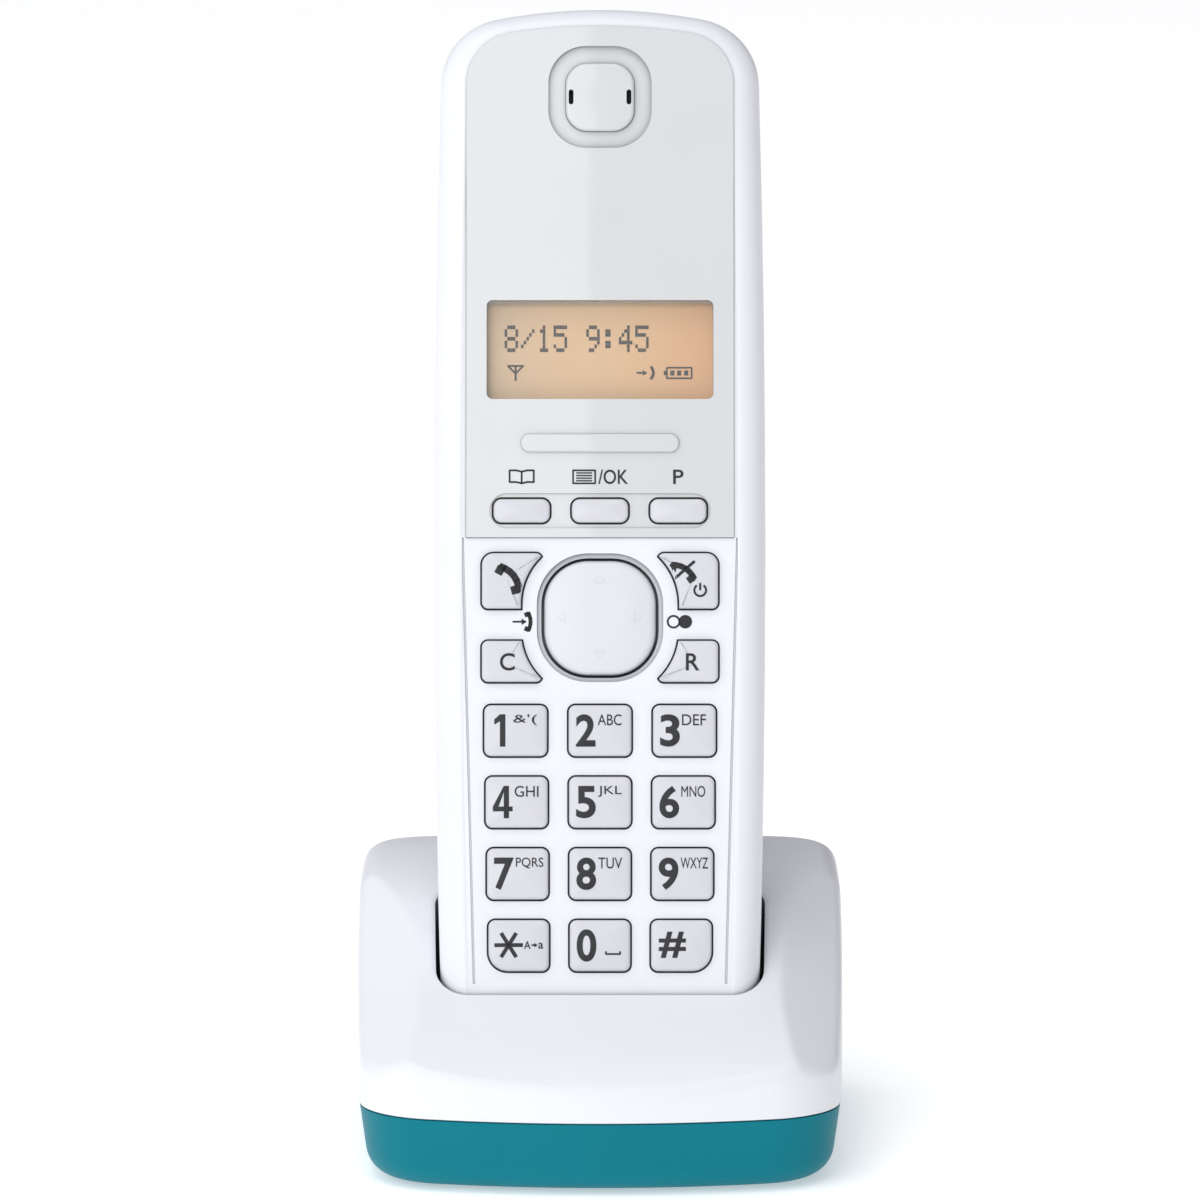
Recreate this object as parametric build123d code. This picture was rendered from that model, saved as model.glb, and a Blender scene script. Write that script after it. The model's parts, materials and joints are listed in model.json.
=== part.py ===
from build123d import *
import math
import os

# Cordless telephone: a slim handset that stands, leaning back, in the cradle of a small charging base.
# All sizes are in millimetres.
#
# World frame: +X is the viewer's right, the keypad faces -Y, +Z is up, and the origin is the centre of
# the base's footprint on the table.
#
# The handset is drawn upright in its own frame: x across, y is the depth behind the flat keypad face,
# z runs from the charging end (0) to the earpiece end. stand() then leans it back into the cradle.

# ---- Handset: overall shape ----
HANDSET_LENGTH = 156.0
HANDSET_WIDTH = 48.0
WIDEST_HEIGHT = 84.0
HEAD_TAPER = 1.1
FOOT_TAPER = 1.3
HEAD_ARCH = 3.4
FOOT_ARCH = 1.6
HEAD_CORNER = 10.0
FOOT_CORNER = 6.5
HEAD_DEPTH = 20.0
WAIST_DEPTH = 28.0
WAIST_HEIGHT = 70.0
FOOT_DEPTH = 20.5
FRONT_ROUND = 4.0
BACK_ROUND = 5.0
WALL = 2.0
FACE_WALL = 2.4
PARTING_DEPTH = 13.0
GROOVE_WIDTH = 0.24
GROOVE_DEPTH = 0.3
LEAN = 18.0
CREASE_TOP_X = 19.9
CREASE_FOOT_X = 18.2
CREASE_FOOT_HEIGHT = 13.0
CREASE_SIZE = (0.35, 0.15)

# ---- Handset: glossy upper panel, earpiece and display ----
PANEL_WIDTH = 38.8
PANEL_BOTTOM = 78.0
PANEL_MARGIN = 3.0
PANEL_ARCH = 2.2
PANEL_CORNER = 7.5
PANEL_THICKNESS = 1.4
PANEL_PROUD = 0.2
PANEL_GAP = 0.05
RIDGE_HEIGHT = 91.8
RIDGE_SIZE = (23.0, 2.7)
RIDGE_PROUD = 0.35
RECESS_SIZE = (32.0, 5.1)
RECESS_DEPTH = 0.15
EAR_HEIGHT = 142.6
EAR_DISH = 15.0
EAR_DISH_CORNER = 5.5
EAR_DISH_DEPTH = 0.7
EAR_CAP = 10.0
EAR_CAP_GAP = 0.05
EAR_CAP_CORNER = 3.2
EAR_SLOT_WIDTH = 0.7
EAR_SLOT_LENGTH = 2.2
EAR_SLOT_OFFSET = 4.2
EAR_SLOT_GROWTH = 0.3
EARPIECE_RADIUS = 9.5
EARPIECE_THICKNESS = 3.6
MAGNET_THICKNESS = 1.2
WINDOW_WIDTH = 32.8
WINDOW_HEIGHT = 14.4
WINDOW_CENTRE = 105.5
WINDOW_SUNK = 0.25
WINDOW_CORNER = 0.9
GLASS_MARGIN = 1.0
GLASS_THICKNESS = 1.5
GUIDE_THICKNESS = 1.7
HOLDER_RIM = 2.4

# ---- Handset: keys ----
KEY_PROUD = 0.8
KEY_SIDE_GAP = 0.25
KEY_BACK_GAP = 0.15
KEY_TRAVEL = 0.6
KEY_LIP = 0.8
KEY_LIP_THICKNESS = 0.8
KEY_EDGE = 0.35
DIAL_WIDTH = 9.1
DIAL_HEIGHT = 7.45
DIAL_CORNER = 1.0
DIAL_END_CORNER = 2.8
DIAL_PITCH_X = 12.2
DIAL_PITCH_Z = 10.43
DIAL_TOP_ROW = 49.8
DIAL_ROW_TAPER = 0.0125
SOFT_WIDTH = 8.2
SOFT_HEIGHT = 3.5
SOFT_CORNER = 1.2
SOFT_PITCH = 11.35
SOFT_CENTRE = 81.9
CALL_OUTER = 17.1
CALL_INNER = 8.4
CALL_TOP = 9.4
CALL_BOTTOM = 1.3
CALL_CORNER = 0.9
CALL_OUTER_CORNER = 1.7
CANCEL_TOP = -3.4
CANCEL_BOTTOM = -9.4

# ---- Handset: navigator ----
NAV_CENTRE = 66.3
NAV_WIDTH = 16.2
NAV_HEIGHT = 16.7
NAV_CORNER = 6.4
NAV_HOLE_GAP = 0.4
NAV_MOAT = 1.05
NAV_MOAT_DEPTH = 0.6
NAV_CLEAR = 3.35
NAV_LIP = 1.0
NAV_FLOAT = 0.55
NAV_PIVOT_RADIUS = 1.9
NAV_PIVOT_GAP = 0.08
NAV_PROUD = 1.0

# ---- Handset: electronics, power and fasteners ----
BOARD_DEPTH = 6.4
BOARD_THICKNESS = 1.2
BOARD_WIDTH = 38.6
BOARD_BOTTOM = 4.0
BOARD_TOP = 129.0
BOARD_CORNER = 4.5
MAT_THICKNESS = 1.0
MAT_WIDTH = 38.0
MAT_BOTTOM = 12.4
MAT_TOP = 88.0
MAT_CORNER = 2.0
PLUNGER_RADIUS = 1.6
PLUNGER_GAP = 0.2
NAV_PLUNGER_RADIUS = 1.3
NAV_PLUNGER_REACH = 5.9
HOLE_GAP = 0.3
RING_RADIUS = 9.0
RING_THICKNESS = 4.0
RING_HEIGHT = 113.0
RING_SLOTS = 5
RING_SLOT_PITCH = 2.6
RING_SLOT_SIZE = (11.0, 1.2)
MIC_HEIGHT = 6.8
MIC_RADIUS = 2.6
MIC_THICKNESS = 2.2
MIC_HOLE = 0.6
SHIELD_SIZE = (24.0, 16.0, 2.6)
SHIELD_HEIGHT = 108.0
CAN_CORNER = 0.8
CELL_RADIUS = 5.25
CELL_LENGTH = 44.5
CELL_PIP_RADIUS = 1.9
CELL_PIP_LENGTH = 0.8
CELL_SPACING = 11.2
CELL_SPACE = 0.4
SPRING_ROOM = 3.6
TAB_THICKNESS = 0.5
TAB_WIDTH = 8.0
SPRING_RADII = (2.2, 3.4)
BAY_CENTRE = 66.0
BAY_WALL = 1.2
COVER_MARGIN_X = 3.4
COVER_MARGIN_Z = 4.0
COVER_THICKNESS = 1.6
COVER_GAP = 0.3
COVER_CORNER = 2.5
LEDGE_THICKNESS = 1.2
LEDGE_WIDTH = 2.0
GRIP_SIZE = (9.0, 1.6)
GRIP_COUNT = 3
GRIP_INSET = 6.0
GRIP_PITCH = 3.0
GRIP_REACH = 1.2
SCREW_X = 14.0
SCREW_HEIGHT = 9.6
SCREW_HEAD_RADIUS = 2.1
SCREW_HEAD_HEIGHT = 1.5
SCREW_SHANK_RADIUS = 1.0
SCREW_LENGTH = 8.0
SCREW_SEAT = 1.6
SCREW_WELL_RADIUS = 2.4
WELL_WALL = 1.2
BOSS_RADIUS = 2.7
PILOT_GAP = 0.05
CROSS_LENGTH = 2.5
CROSS_WIDTH = 0.6
CROSS_DEPTH = 0.7
CONTACT_X = 8.0
CONTACT_DEPTH = 9.6
CONTACT_SIZE = (5.0, 3.0)
CONTACT_TAB = (3.0, 0.5, 5.0)
CONTACT_SUNK = 0.3

# ---- Base: overall shape ----
BASE_WIDTH = 70.5
BASE_DEPTH = 84.0
BASE_REAR_HEIGHT = 36.9
BAND_TOP = 15.3
TOP_CROWN = 8.0
FRONT_BOW = 6.0
REAR_BOW = 1.6
SIDE_BOW = 1.0
FRONT_CORNER = 13.0
REAR_CORNER = 11.0
SHOULDER_ROUND = 3.0
FACET_FRONT = (35.0, -33.0, 15.5)
FACET_REAR = (35.0, 9.0, 33.4)
FACET_LIP = (24.0, -22.0, 28.2)
SEAM_HEIGHT = 10.9
FOOT_LIFT = 0.5
CASE_DRAFT = 8.0
CASE_ROUND = 4.5
BASE_WALL = 2.0

# ---- Base: cradle ----
HANDSET_FOOT_Y = -26.2
HANDSET_FOOT_Z = 15.1
CRADLE_GAP = 0.6
CRADLE_WALL = 1.6
MOUTH_ROUND = 1.0
MOUTH_TOUCH = 0.001
MOUTH_LOWEST = 20.0
PRONG_SIZE = (3.4, 1.8)
PRONG_GAP = 0.2
PRONG_TAIL = 1.8

# ---- Base: electronics, jacks and fasteners ----
BOARD2_SIZE = (50.0, 22.0, 1.4)
BOARD2_CENTRE_Y = 26.5
BOARD2_CORNER = 1.5
BOARD2_HEIGHT = 9.9
POST_RADIUS = 2.2
POST_INSET = 3.4
JACK_X = 15.5
JACK_SUNK = 0.8
JACK_GAP = 0.15
LINE_SIZE = (13.0, 15.0, 11.4)
LINE_SOCKET = (9.7, 9.0, 6.6)
LINE_LATCH = (4.2, 2.2)
LINE_FLOOR = 1.8
DC_SIZE = (9.0, 13.5, 11.0)
DC_BORE_RADIUS = 3.0
DC_PIN_RADIUS = 1.0
DC_BORE_LENGTH = 9.5
CAN_SIZE = (22.0, 15.0, 2.4)
PAGE_RADIUS = 4.5
PAGE_STEM_RADIUS = 1.8
PAGE_Y = 27.0
PAGE_GAP = 0.25
PAGE_PROUD = 0.7
PAGE_DROP = 1.2
PAGE_FLANGE = 0.9
PAGE_TRAVEL = 0.5
PAGE_LIP = 0.9
SWITCH_SIZE = (6.0, 6.0, 3.2)
SWITCH_PIP_RADIUS = 1.6
SWITCH_PIP_HEIGHT = 0.8
BASE_SCREW_X = 28.8
BASE_SCREW_Y = (-11.0, 17.0)
BASE_SCREW_HEAD_RADIUS = 2.3
BASE_SCREW_HEAD_HEIGHT = 1.6
BASE_SCREW_RADIUS = 1.1
BASE_SCREW_LENGTH = 10.0
BASE_SCREW_SEAT = 4.0
BASE_BOSS_RADIUS = 2.7
BASE_TUBE_WALL = 1.2
PAD_RADIUS = 3.5
PAD_X = 21.0
PAD_Y = (-27.0, 28.0)
PAD_THICKNESS = 1.2

# ---- Sizes worked out from the ones above ----
FAR = 60.0
EXTRA = 1.0
MERGE = 0.5
PLAY = 0.6
SMALL_ROUND = 0.5
MAT_FACE = BOARD_DEPTH - MAT_THICKNESS
PANEL_BACK = PANEL_THICKNESS - PANEL_PROUD
LIP_FRONT = FACE_WALL + KEY_BACK_GAP
LIP_BACK = LIP_FRONT + KEY_LIP_THICKNESS
PLUNGER_TOP = LIP_BACK + KEY_TRAVEL + PLUNGER_GAP
NAV_LIP_BACK = FACE_WALL + NAV_FLOAT + KEY_LIP_THICKNESS
NAV_PIVOT_DEPTH = BOARD_DEPTH - NAV_PIVOT_RADIUS - NAV_PIVOT_GAP
BAY_WIDTH = CELL_SPACING + 2 * CELL_RADIUS + 2 * CELL_SPACE
BAY_LENGTH = CELL_LENGTH + CELL_PIP_LENGTH + SPRING_ROOM + 2 * TAB_THICKNESS + CELL_SPACE
BAY_BACK = PARTING_DEPTH + BAY_WALL
COVER_SIZE = (BAY_WIDTH + 2 * COVER_MARGIN_X, BAY_LENGTH + 2 * COVER_MARGIN_Z)
CELL_DEPTH = BAY_BACK + CELL_RADIUS
BOARD2_TOP = BOARD2_HEIGHT + BOARD2_SIZE[2]
CASE_FLOOR = FOOT_LIFT + BASE_WALL

DIAL_KEYS = (
    ("key_1", "key_2", "key_3"),
    ("key_4", "key_5", "key_6"),
    ("key_7", "key_8", "key_9"),
    ("key_star", "key_0", "key_hash"),
)


# ---- Drawing helpers ----
def slab(outline, near, far):
    """Solid between two depths behind the keypad face, from an outline drawn in x and z."""
    return extrude(Plane.XZ.offset(-near) * outline, amount=far - near, dir=(0, 1, 0))


def rounded(width, height, radius, x=0.0, z=0.0):
    """Rounded rectangle outline centred on x, z."""
    largest = 0.49 * min(width, height)
    return Pos(x, z) * RectangleRounded(width, height, min(radius, largest))


def disc(radius, x=0.0, z=0.0):
    """Round outline centred on x, z."""
    return Pos(x, z) * Circle(radius)


def block(low, high):
    """Box between two corners."""
    size = [b - a for a, b in zip(low, high)]
    middle = [(a + b) / 2 for a, b in zip(low, high)]
    return Pos(*middle) * Box(*size)


def rod(radius, x, y, low, high):
    """Upright cylinder between two heights."""
    return Pos(x, y, (low + high) / 2) * Cylinder(radius, high - low)


def stand(shape):
    """Lean a piece drawn in the handset's own frame back into the cradle."""
    return Pos(0, HANDSET_FOOT_Y, HANDSET_FOOT_Z) * Rot(-LEAN, 0, 0) * shape


# ---- Handset shells ----
def handset_outline(inset=0.0):
    """Front outline: bowed sides, arched head and foot, rounded corners."""
    low = inset
    high = HANDSET_LENGTH - inset
    widest = HANDSET_WIDTH / 2 - inset
    head = widest - HEAD_TAPER
    foot = widest - FOOT_TAPER
    shoulder = high - HEAD_ARCH
    toe = low + FOOT_ARCH
    edges = Curve() + [
        ThreePointArc((-foot, toe), (-widest, WIDEST_HEIGHT), (-head, shoulder)),
        ThreePointArc((-head, shoulder), (0, high), (head, shoulder)),
        ThreePointArc((head, shoulder), (widest, WIDEST_HEIGHT), (foot, toe)),
        ThreePointArc((foot, toe), (0, low), (-foot, toe)),
    ]
    face = make_face(edges)
    corners = face.vertices().sort_by(Axis.Y)
    face = fillet(corners[2:], HEAD_CORNER - inset)
    corners = face.vertices().sort_by(Axis.Y)
    return fillet(corners[:2], FOOT_CORNER - inset)


def handset_body(inset=0.0, front=None):
    """Closed handset shape, taken in by inset all round, with its face at the depth front."""
    face = inset if front is None else front
    over = 5.0
    back = ThreePointArc(
        (FOOT_DEPTH - inset, -over),
        (WAIST_DEPTH - inset, WAIST_HEIGHT),
        (HEAD_DEPTH - inset, HANDSET_LENGTH + over),
    )
    front_line = Polyline(back @ 1, (face, HANDSET_LENGTH + over), (face, -over), back @ 0)
    profile = make_face(Curve() + [back, front_line])
    side = extrude(Plane.YZ * profile, amount=HANDSET_WIDTH, both=True)
    body = slab(handset_outline(inset), face, FAR) & side
    rear_edges = body.faces().sort_by(Axis.Y)[-1].edges()
    body = fillet(rear_edges, BACK_ROUND - inset)
    front_edges = body.faces().sort_by(Axis.Y)[0].edges()
    return fillet(front_edges, FRONT_ROUND - inset)


def parting_groove():
    """Fine groove round the handset where its two shells meet."""
    half = GROOVE_WIDTH / 2
    sheet = Rectangle(2 * HANDSET_WIDTH, 4 * HANDSET_LENGTH)
    around = slab(sheet, PARTING_DEPTH - half, PARTING_DEPTH + half)
    return around - handset_body(GROOVE_DEPTH)


def face_crease(side):
    """Shallow crease beside the keypad, from the upper panel's corner down to the cradle's lip."""
    run = side * (CREASE_TOP_X - CREASE_FOOT_X)
    rise = PANEL_BOTTOM - CREASE_FOOT_HEIGHT
    x = side * (CREASE_TOP_X + CREASE_FOOT_X) / 2
    z = (PANEL_BOTTOM + CREASE_FOOT_HEIGHT) / 2
    line = Rot(0, 0, -math.degrees(math.atan2(run, rise))) * Rectangle(CREASE_SIZE[0], math.hypot(run, rise))
    return slab(Pos(x, z) * line, -1, CREASE_SIZE[1])


def panel_outline(gap=0.0):
    """Outline of the glossy upper panel, grown by gap."""
    half = PANEL_WIDTH / 2 + gap
    low = PANEL_BOTTOM - gap
    high = HANDSET_LENGTH - PANEL_MARGIN + gap
    shoulder = high - PANEL_ARCH
    edges = Curve() + [
        Polyline((-half, shoulder), (-half, low), (half, low), (half, shoulder)),
        ThreePointArc((half, shoulder), (0, high), (-half, shoulder)),
    ]
    face = make_face(edges)
    corners = face.vertices().sort_by(Axis.Y)
    return fillet(corners[2:], PANEL_CORNER + gap)


def ear_slots(grow=0.0):
    """The two upright sound slots beside the earpiece cap's middle."""
    width = EAR_SLOT_WIDTH + grow
    length = EAR_SLOT_LENGTH + grow
    return [rounded(width, length, width / 2, side * EAR_SLOT_OFFSET, EAR_HEIGHT) for side in (-1, 1)]


def screw_places():
    """Centres of the two screws that close the handset."""
    return [(-SCREW_X, SCREW_HEIGHT), (SCREW_X, SCREW_HEIGHT)]


def front_cover():
    """Front half shell, with its keypad openings, panel seat and screw bosses."""
    shell = handset_body() - handset_body(WALL, FACE_WALL)
    shell = shell & block((-FAR, -1, -1), (FAR, PARTING_DEPTH, HANDSET_LENGTH + 1))
    for x, z in screw_places():
        shell += slab(disc(BOSS_RADIUS, x, z), FACE_WALL - MERGE, PARTING_DEPTH)
    through = FACE_WALL + EXTRA
    cuts = [slab(panel_outline(PANEL_GAP), -1, PANEL_BACK)]
    cuts.append(slab(window_outline(), 0, through))
    cuts += [slab(slot, 0, through) for slot in ear_slots(EAR_SLOT_GROWTH)]
    cuts += [slab(outline(KEY_SIDE_GAP), -1, through) for outline in fixed_key_outlines().values()]
    cuts.append(slab(nav_outline(NAV_HOLE_GAP), -1, through))
    cuts.append(slab(nav_outline(NAV_MOAT), -1, NAV_MOAT_DEPTH))
    cuts.append(slab(disc(MIC_HOLE, 0, MIC_HEIGHT), -1, through))
    screw_tip = PARTING_DEPTH + SCREW_SEAT - SCREW_LENGTH - EXTRA
    cuts += [
        slab(disc(SCREW_SHANK_RADIUS + PILOT_GAP, x, z), screw_tip, PARTING_DEPTH + EXTRA)
        for x, z in screw_places()
    ]
    cuts += [contact_plate(side, -1) for side in (-1, 1)]
    cuts += [face_crease(side) for side in (-1, 1)]
    cuts.append(parting_groove())
    return shell - cuts


def cover_outline(gap=0.0):
    """Outline of the battery cover, grown by gap."""
    return rounded(COVER_SIZE[0] + 2 * gap, COVER_SIZE[1] + 2 * gap, COVER_CORNER, 0, BAY_CENTRE)


def rear_cover():
    """Rear half shell, with the battery bay, its cover's opening, ringer slots and screw tubes."""
    shell = handset_body() - handset_body(WALL, FACE_WALL)
    shell = shell & block((-FAR, PARTING_DEPTH, -1), (FAR, FAR, HANDSET_LENGTH + 1))
    solid = handset_body()
    grown = 2 * BAY_WALL
    bay = slab(Pos(0, BAY_CENTRE) * Rectangle(BAY_WIDTH + grown, BAY_LENGTH + grown), PARTING_DEPTH, FAR)
    opening = cover_outline(COVER_GAP)
    under = COVER_THICKNESS + COVER_GAP
    inside = handset_body(under)
    rim = cover_outline(LEDGE_WIDTH)
    ledge = (inside - handset_body(under + LEDGE_THICKNESS)) & slab(rim, PARTING_DEPTH, FAR)
    shell -= slab(opening, PARTING_DEPTH, FAR)
    shell += ledge
    shell += bay & inside
    for x, z in screw_places():
        shell += slab(disc(SCREW_WELL_RADIUS + WELL_WALL, x, z), PARTING_DEPTH, FAR) & solid
    cuts = [slab(Pos(0, BAY_CENTRE) * Rectangle(BAY_WIDTH, BAY_LENGTH), BAY_BACK, FAR)]
    for x, z in screw_places():
        cuts.append(slab(disc(SCREW_SHANK_RADIUS + PILOT_GAP, x, z), PARTING_DEPTH - EXTRA, FAR))
        cuts.append(slab(disc(SCREW_WELL_RADIUS, x, z), PARTING_DEPTH + SCREW_SEAT, FAR))
    for z in ringer_slot_heights():
        cuts.append(slab(rounded(*RING_SLOT_SIZE, RING_SLOT_SIZE[1] / 2, 0, z), PARTING_DEPTH, FAR))
    cuts.append(parting_groove())
    return shell - cuts


def ringer_slot_heights():
    """Heights of the sound slots over the ringer speaker."""
    middle = (RING_SLOTS - 1) / 2
    return [RING_HEIGHT + (i - middle) * RING_SLOT_PITCH for i in range(RING_SLOTS)]


def battery_cover():
    """Lift-off cover over the battery bay, flush with the handset's back."""
    region = slab(cover_outline(), PARTING_DEPTH, FAR)
    cover = (handset_body() - handset_body(COVER_THICKNESS)) & region
    top = BAY_CENTRE + COVER_SIZE[1] / 2
    heights = [top - GRIP_INSET - GRIP_PITCH * i for i in range(GRIP_COUNT)]
    near = WAIST_DEPTH - GRIP_REACH
    return cover - [slab(rounded(*GRIP_SIZE, GRIP_SIZE[1] / 2, 0, z), near, FAR) for z in heights]


# ---- Upper panel, earpiece and display ----
def upper_panel():
    """Glossy face panel with the earpiece dish, the display opening and three soft key holes."""
    panel = slab(panel_outline(), -PANEL_PROUD, PANEL_BACK)
    ridge = slab(rounded(*RIDGE_SIZE, RIDGE_SIZE[1] / 2, 0, RIDGE_HEIGHT), -PANEL_PROUD - RIDGE_PROUD, 0)
    panel += fillet(ridge.faces().sort_by(Axis.Y)[0].edges(), RIDGE_PROUD * 0.9)
    dish = rounded(EAR_DISH, EAR_DISH, EAR_DISH_CORNER, 0, EAR_HEIGHT)
    cuts = [slab(dish, -1, EAR_DISH_DEPTH - PANEL_PROUD)]
    recess = rounded(*RECESS_SIZE, RECESS_SIZE[1] / 2, 0, SOFT_CENTRE)
    cuts.append(slab(recess, -1, RECESS_DEPTH - PANEL_PROUD))
    cuts.append(slab(ear_cap_outline(EAR_CAP_GAP), -1, PANEL_BACK + 1))
    cuts.append(slab(window_outline(PANEL_GAP), -1, PANEL_BACK + 1))
    for outline in soft_key_outlines().values():
        cuts.append(slab(outline(KEY_SIDE_GAP), -1, PANEL_BACK + 1))
    return panel - cuts


def ear_cap_outline(gap=0.0):
    """Outline of the raised cap in the earpiece dish."""
    return rounded(EAR_CAP + 2 * gap, EAR_CAP + 2 * gap, EAR_CAP_CORNER, 0, EAR_HEIGHT)


def earpiece_cap():
    """Raised cap in the earpiece dish, with a sound slot at each side."""
    cap = slab(ear_cap_outline(), -PANEL_PROUD, PANEL_BACK)
    cap = fillet(cap.faces().sort_by(Axis.Y)[0].edges(), SMALL_ROUND)
    return cap - [slab(slot, -1, PANEL_BACK + 1) for slot in ear_slots()]


def earpiece_speaker():
    """Earpiece capsule behind the front wall."""
    can = slab(disc(EARPIECE_RADIUS, 0, EAR_HEIGHT), FACE_WALL, FACE_WALL + EARPIECE_THICKNESS)
    back = FACE_WALL + EARPIECE_THICKNESS
    return can + slab(disc(EARPIECE_RADIUS / 2, 0, EAR_HEIGHT), back, back + MAGNET_THICKNESS)


def window_outline(gap=0.0):
    """Outline of the clear display window."""
    return rounded(WINDOW_WIDTH + 2 * gap, WINDOW_HEIGHT + 2 * gap, WINDOW_CORNER, 0, WINDOW_CENTRE)


def display_window():
    """Clear plate set just below the panel's face."""
    return slab(window_outline(), WINDOW_SUNK - PANEL_PROUD, PANEL_BACK)


def glass_outline(gap=0.0):
    """Outline of the display glass, larger than the window all round."""
    width = WINDOW_WIDTH + 2 * (GLASS_MARGIN + gap)
    height = WINDOW_HEIGHT + 2 * (GLASS_MARGIN + gap)
    return Pos(0, WINDOW_CENTRE) * Rectangle(width, height)


def lcd_glass():
    """Liquid crystal cell against the front wall."""
    return slab(glass_outline(), FACE_WALL, FACE_WALL + GLASS_THICKNESS)


def lcd_light_guide():
    """Backlight plate behind the display glass."""
    near = FACE_WALL + GLASS_THICKNESS
    return slab(glass_outline(), near, near + GUIDE_THICKNESS)


def lcd_holder():
    """Frame that carries the display between the front wall and the board."""
    frame = slab(glass_outline(HOLDER_RIM), FACE_WALL, BOARD_DEPTH)
    back = FACE_WALL + GLASS_THICKNESS + GUIDE_THICKNESS
    pocket = slab(glass_outline(PANEL_GAP), FACE_WALL - EXTRA, back)
    return frame - pocket


# ---- Keys ----
def rounder_corner(shape, width, height, radius, side, end):
    """Outline centred on the origin, with its corner at side, end (each -1 or 1) made rounder."""
    corner = Pos(side * (width - radius) / 2, end * (height - radius) / 2) * Rectangle(radius, radius)
    return shape - corner + Pos(side * (width / 2 - radius), end * (height / 2 - radius)) * Circle(radius)


def dial_outline(side, row):
    """Function that draws one dial key grown by a gap; rows get narrower towards the foot."""
    share = 1 - row * DIAL_ROW_TAPER
    x = side * DIAL_PITCH_X * share
    z = DIAL_TOP_ROW - row * DIAL_PITCH_Z
    end_corner = side if row == len(DIAL_KEYS) - 1 else 0

    def outline(gap=0.0):
        width = DIAL_WIDTH * share + 2 * gap
        height = DIAL_HEIGHT + 2 * gap
        shape = rounded(width, height, DIAL_CORNER + gap)
        if end_corner:
            shape = rounder_corner(shape, width, height, DIAL_END_CORNER + gap, end_corner, -1)
        return Pos(x, z) * shape

    return outline


def soft_outline(x):
    """Function that draws one soft key grown by a gap."""

    def outline(gap=0.0):
        return rounded(SOFT_WIDTH + 2 * gap, SOFT_HEIGHT + 2 * gap, SOFT_CORNER + gap, x, SOFT_CENTRE)

    return outline


def nav_outline(gap=0.0):
    """Outline of the navigator key, grown by gap."""
    return rounded(NAV_WIDTH + 2 * gap, NAV_HEIGHT + 2 * gap, NAV_CORNER + gap, 0, NAV_CENTRE)


def corner_outline(side, top, bottom):
    """Function that draws one key beside the navigator, hollowed on the side that faces it."""

    def outline(gap=0.0):
        width = CALL_OUTER - CALL_INNER + 2 * gap
        height = top - bottom + 2 * gap
        x = side * (CALL_OUTER + CALL_INNER) / 2
        z = NAV_CENTRE + (top + bottom) / 2
        shape = rounded(width, height, CALL_CORNER + gap)
        if top > 0:
            shape = rounder_corner(shape, width, height, CALL_OUTER_CORNER + gap, side, 1)
        return Pos(x, z) * shape - nav_outline(NAV_CLEAR - gap)

    return outline


def soft_key_outlines():
    """Outlines of the three soft keys, by node."""
    return {
        "soft_key_left": soft_outline(-SOFT_PITCH),
        "soft_key_middle": soft_outline(0.0),
        "soft_key_right": soft_outline(SOFT_PITCH),
    }


def fixed_key_outlines():
    """Outlines of all the keys that press straight in, by node."""
    outlines = soft_key_outlines()
    outlines["key_talk"] = corner_outline(-1, CALL_TOP, CALL_BOTTOM)
    outlines["key_off"] = corner_outline(1, CALL_TOP, CALL_BOTTOM)
    outlines["key_clear"] = corner_outline(-1, CANCEL_TOP, CANCEL_BOTTOM)
    outlines["key_recall"] = corner_outline(1, CANCEL_TOP, CANCEL_BOTTOM)
    for row, names in enumerate(DIAL_KEYS):
        for column, name in enumerate(names):
            outlines[name] = dial_outline(column - 1, row)
    return outlines


def press_key(outline):
    """Key with a proud cap and a lip that stops it behind the front wall."""
    cap = slab(outline(), -KEY_PROUD, LIP_FRONT)
    cap = fillet(cap.faces().sort_by(Axis.Y)[0].edges(), KEY_EDGE)
    return cap + slab(outline(KEY_LIP), LIP_FRONT, LIP_BACK)


def navigator():
    """Four-way key that rocks on a ball under its middle."""
    lip_front = FACE_WALL + NAV_FLOAT
    cap = slab(nav_outline(), -NAV_PROUD, lip_front)
    cap = fillet(cap.faces().sort_by(Axis.Y)[0].edges(), 2 * KEY_EDGE)
    key = cap + slab(nav_outline(NAV_LIP), lip_front, NAV_LIP_BACK)
    socket = Pos(0, NAV_PIVOT_DEPTH, NAV_CENTRE) * Sphere(NAV_PIVOT_RADIUS + NAV_PIVOT_GAP)
    return key - socket


def nav_pivot():
    """Ball between the board and the navigator's socket."""
    return Pos(0, NAV_PIVOT_DEPTH, NAV_CENTRE) * Sphere(NAV_PIVOT_RADIUS)


def keypad_mat():
    """Silicone sheet on the board, with a plunger under every key and four under the navigator."""
    middle = (MAT_TOP + MAT_BOTTOM) / 2
    mat = slab(rounded(MAT_WIDTH, MAT_TOP - MAT_BOTTOM, MAT_CORNER, 0, middle), MAT_FACE, BOARD_DEPTH)
    for outline in fixed_key_outlines().values():
        centre = outline().faces()[0].center()
        mat += slab(disc(PLUNGER_RADIUS, centre.X, centre.Y), PLUNGER_TOP, MAT_FACE)
    reach = NAV_PLUNGER_REACH
    top = NAV_LIP_BACK + 2 * PLUNGER_GAP
    for x, z in ((-reach, 0), (reach, 0), (0, -reach), (0, reach)):
        mat += slab(disc(NAV_PLUNGER_RADIUS, x, NAV_CENTRE + z), top, MAT_FACE)
    hole = disc(NAV_PIVOT_RADIUS + HOLE_GAP, 0, NAV_CENTRE)
    return mat - slab(hole, MAT_FACE - EXTRA, BOARD_DEPTH + EXTRA)


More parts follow.
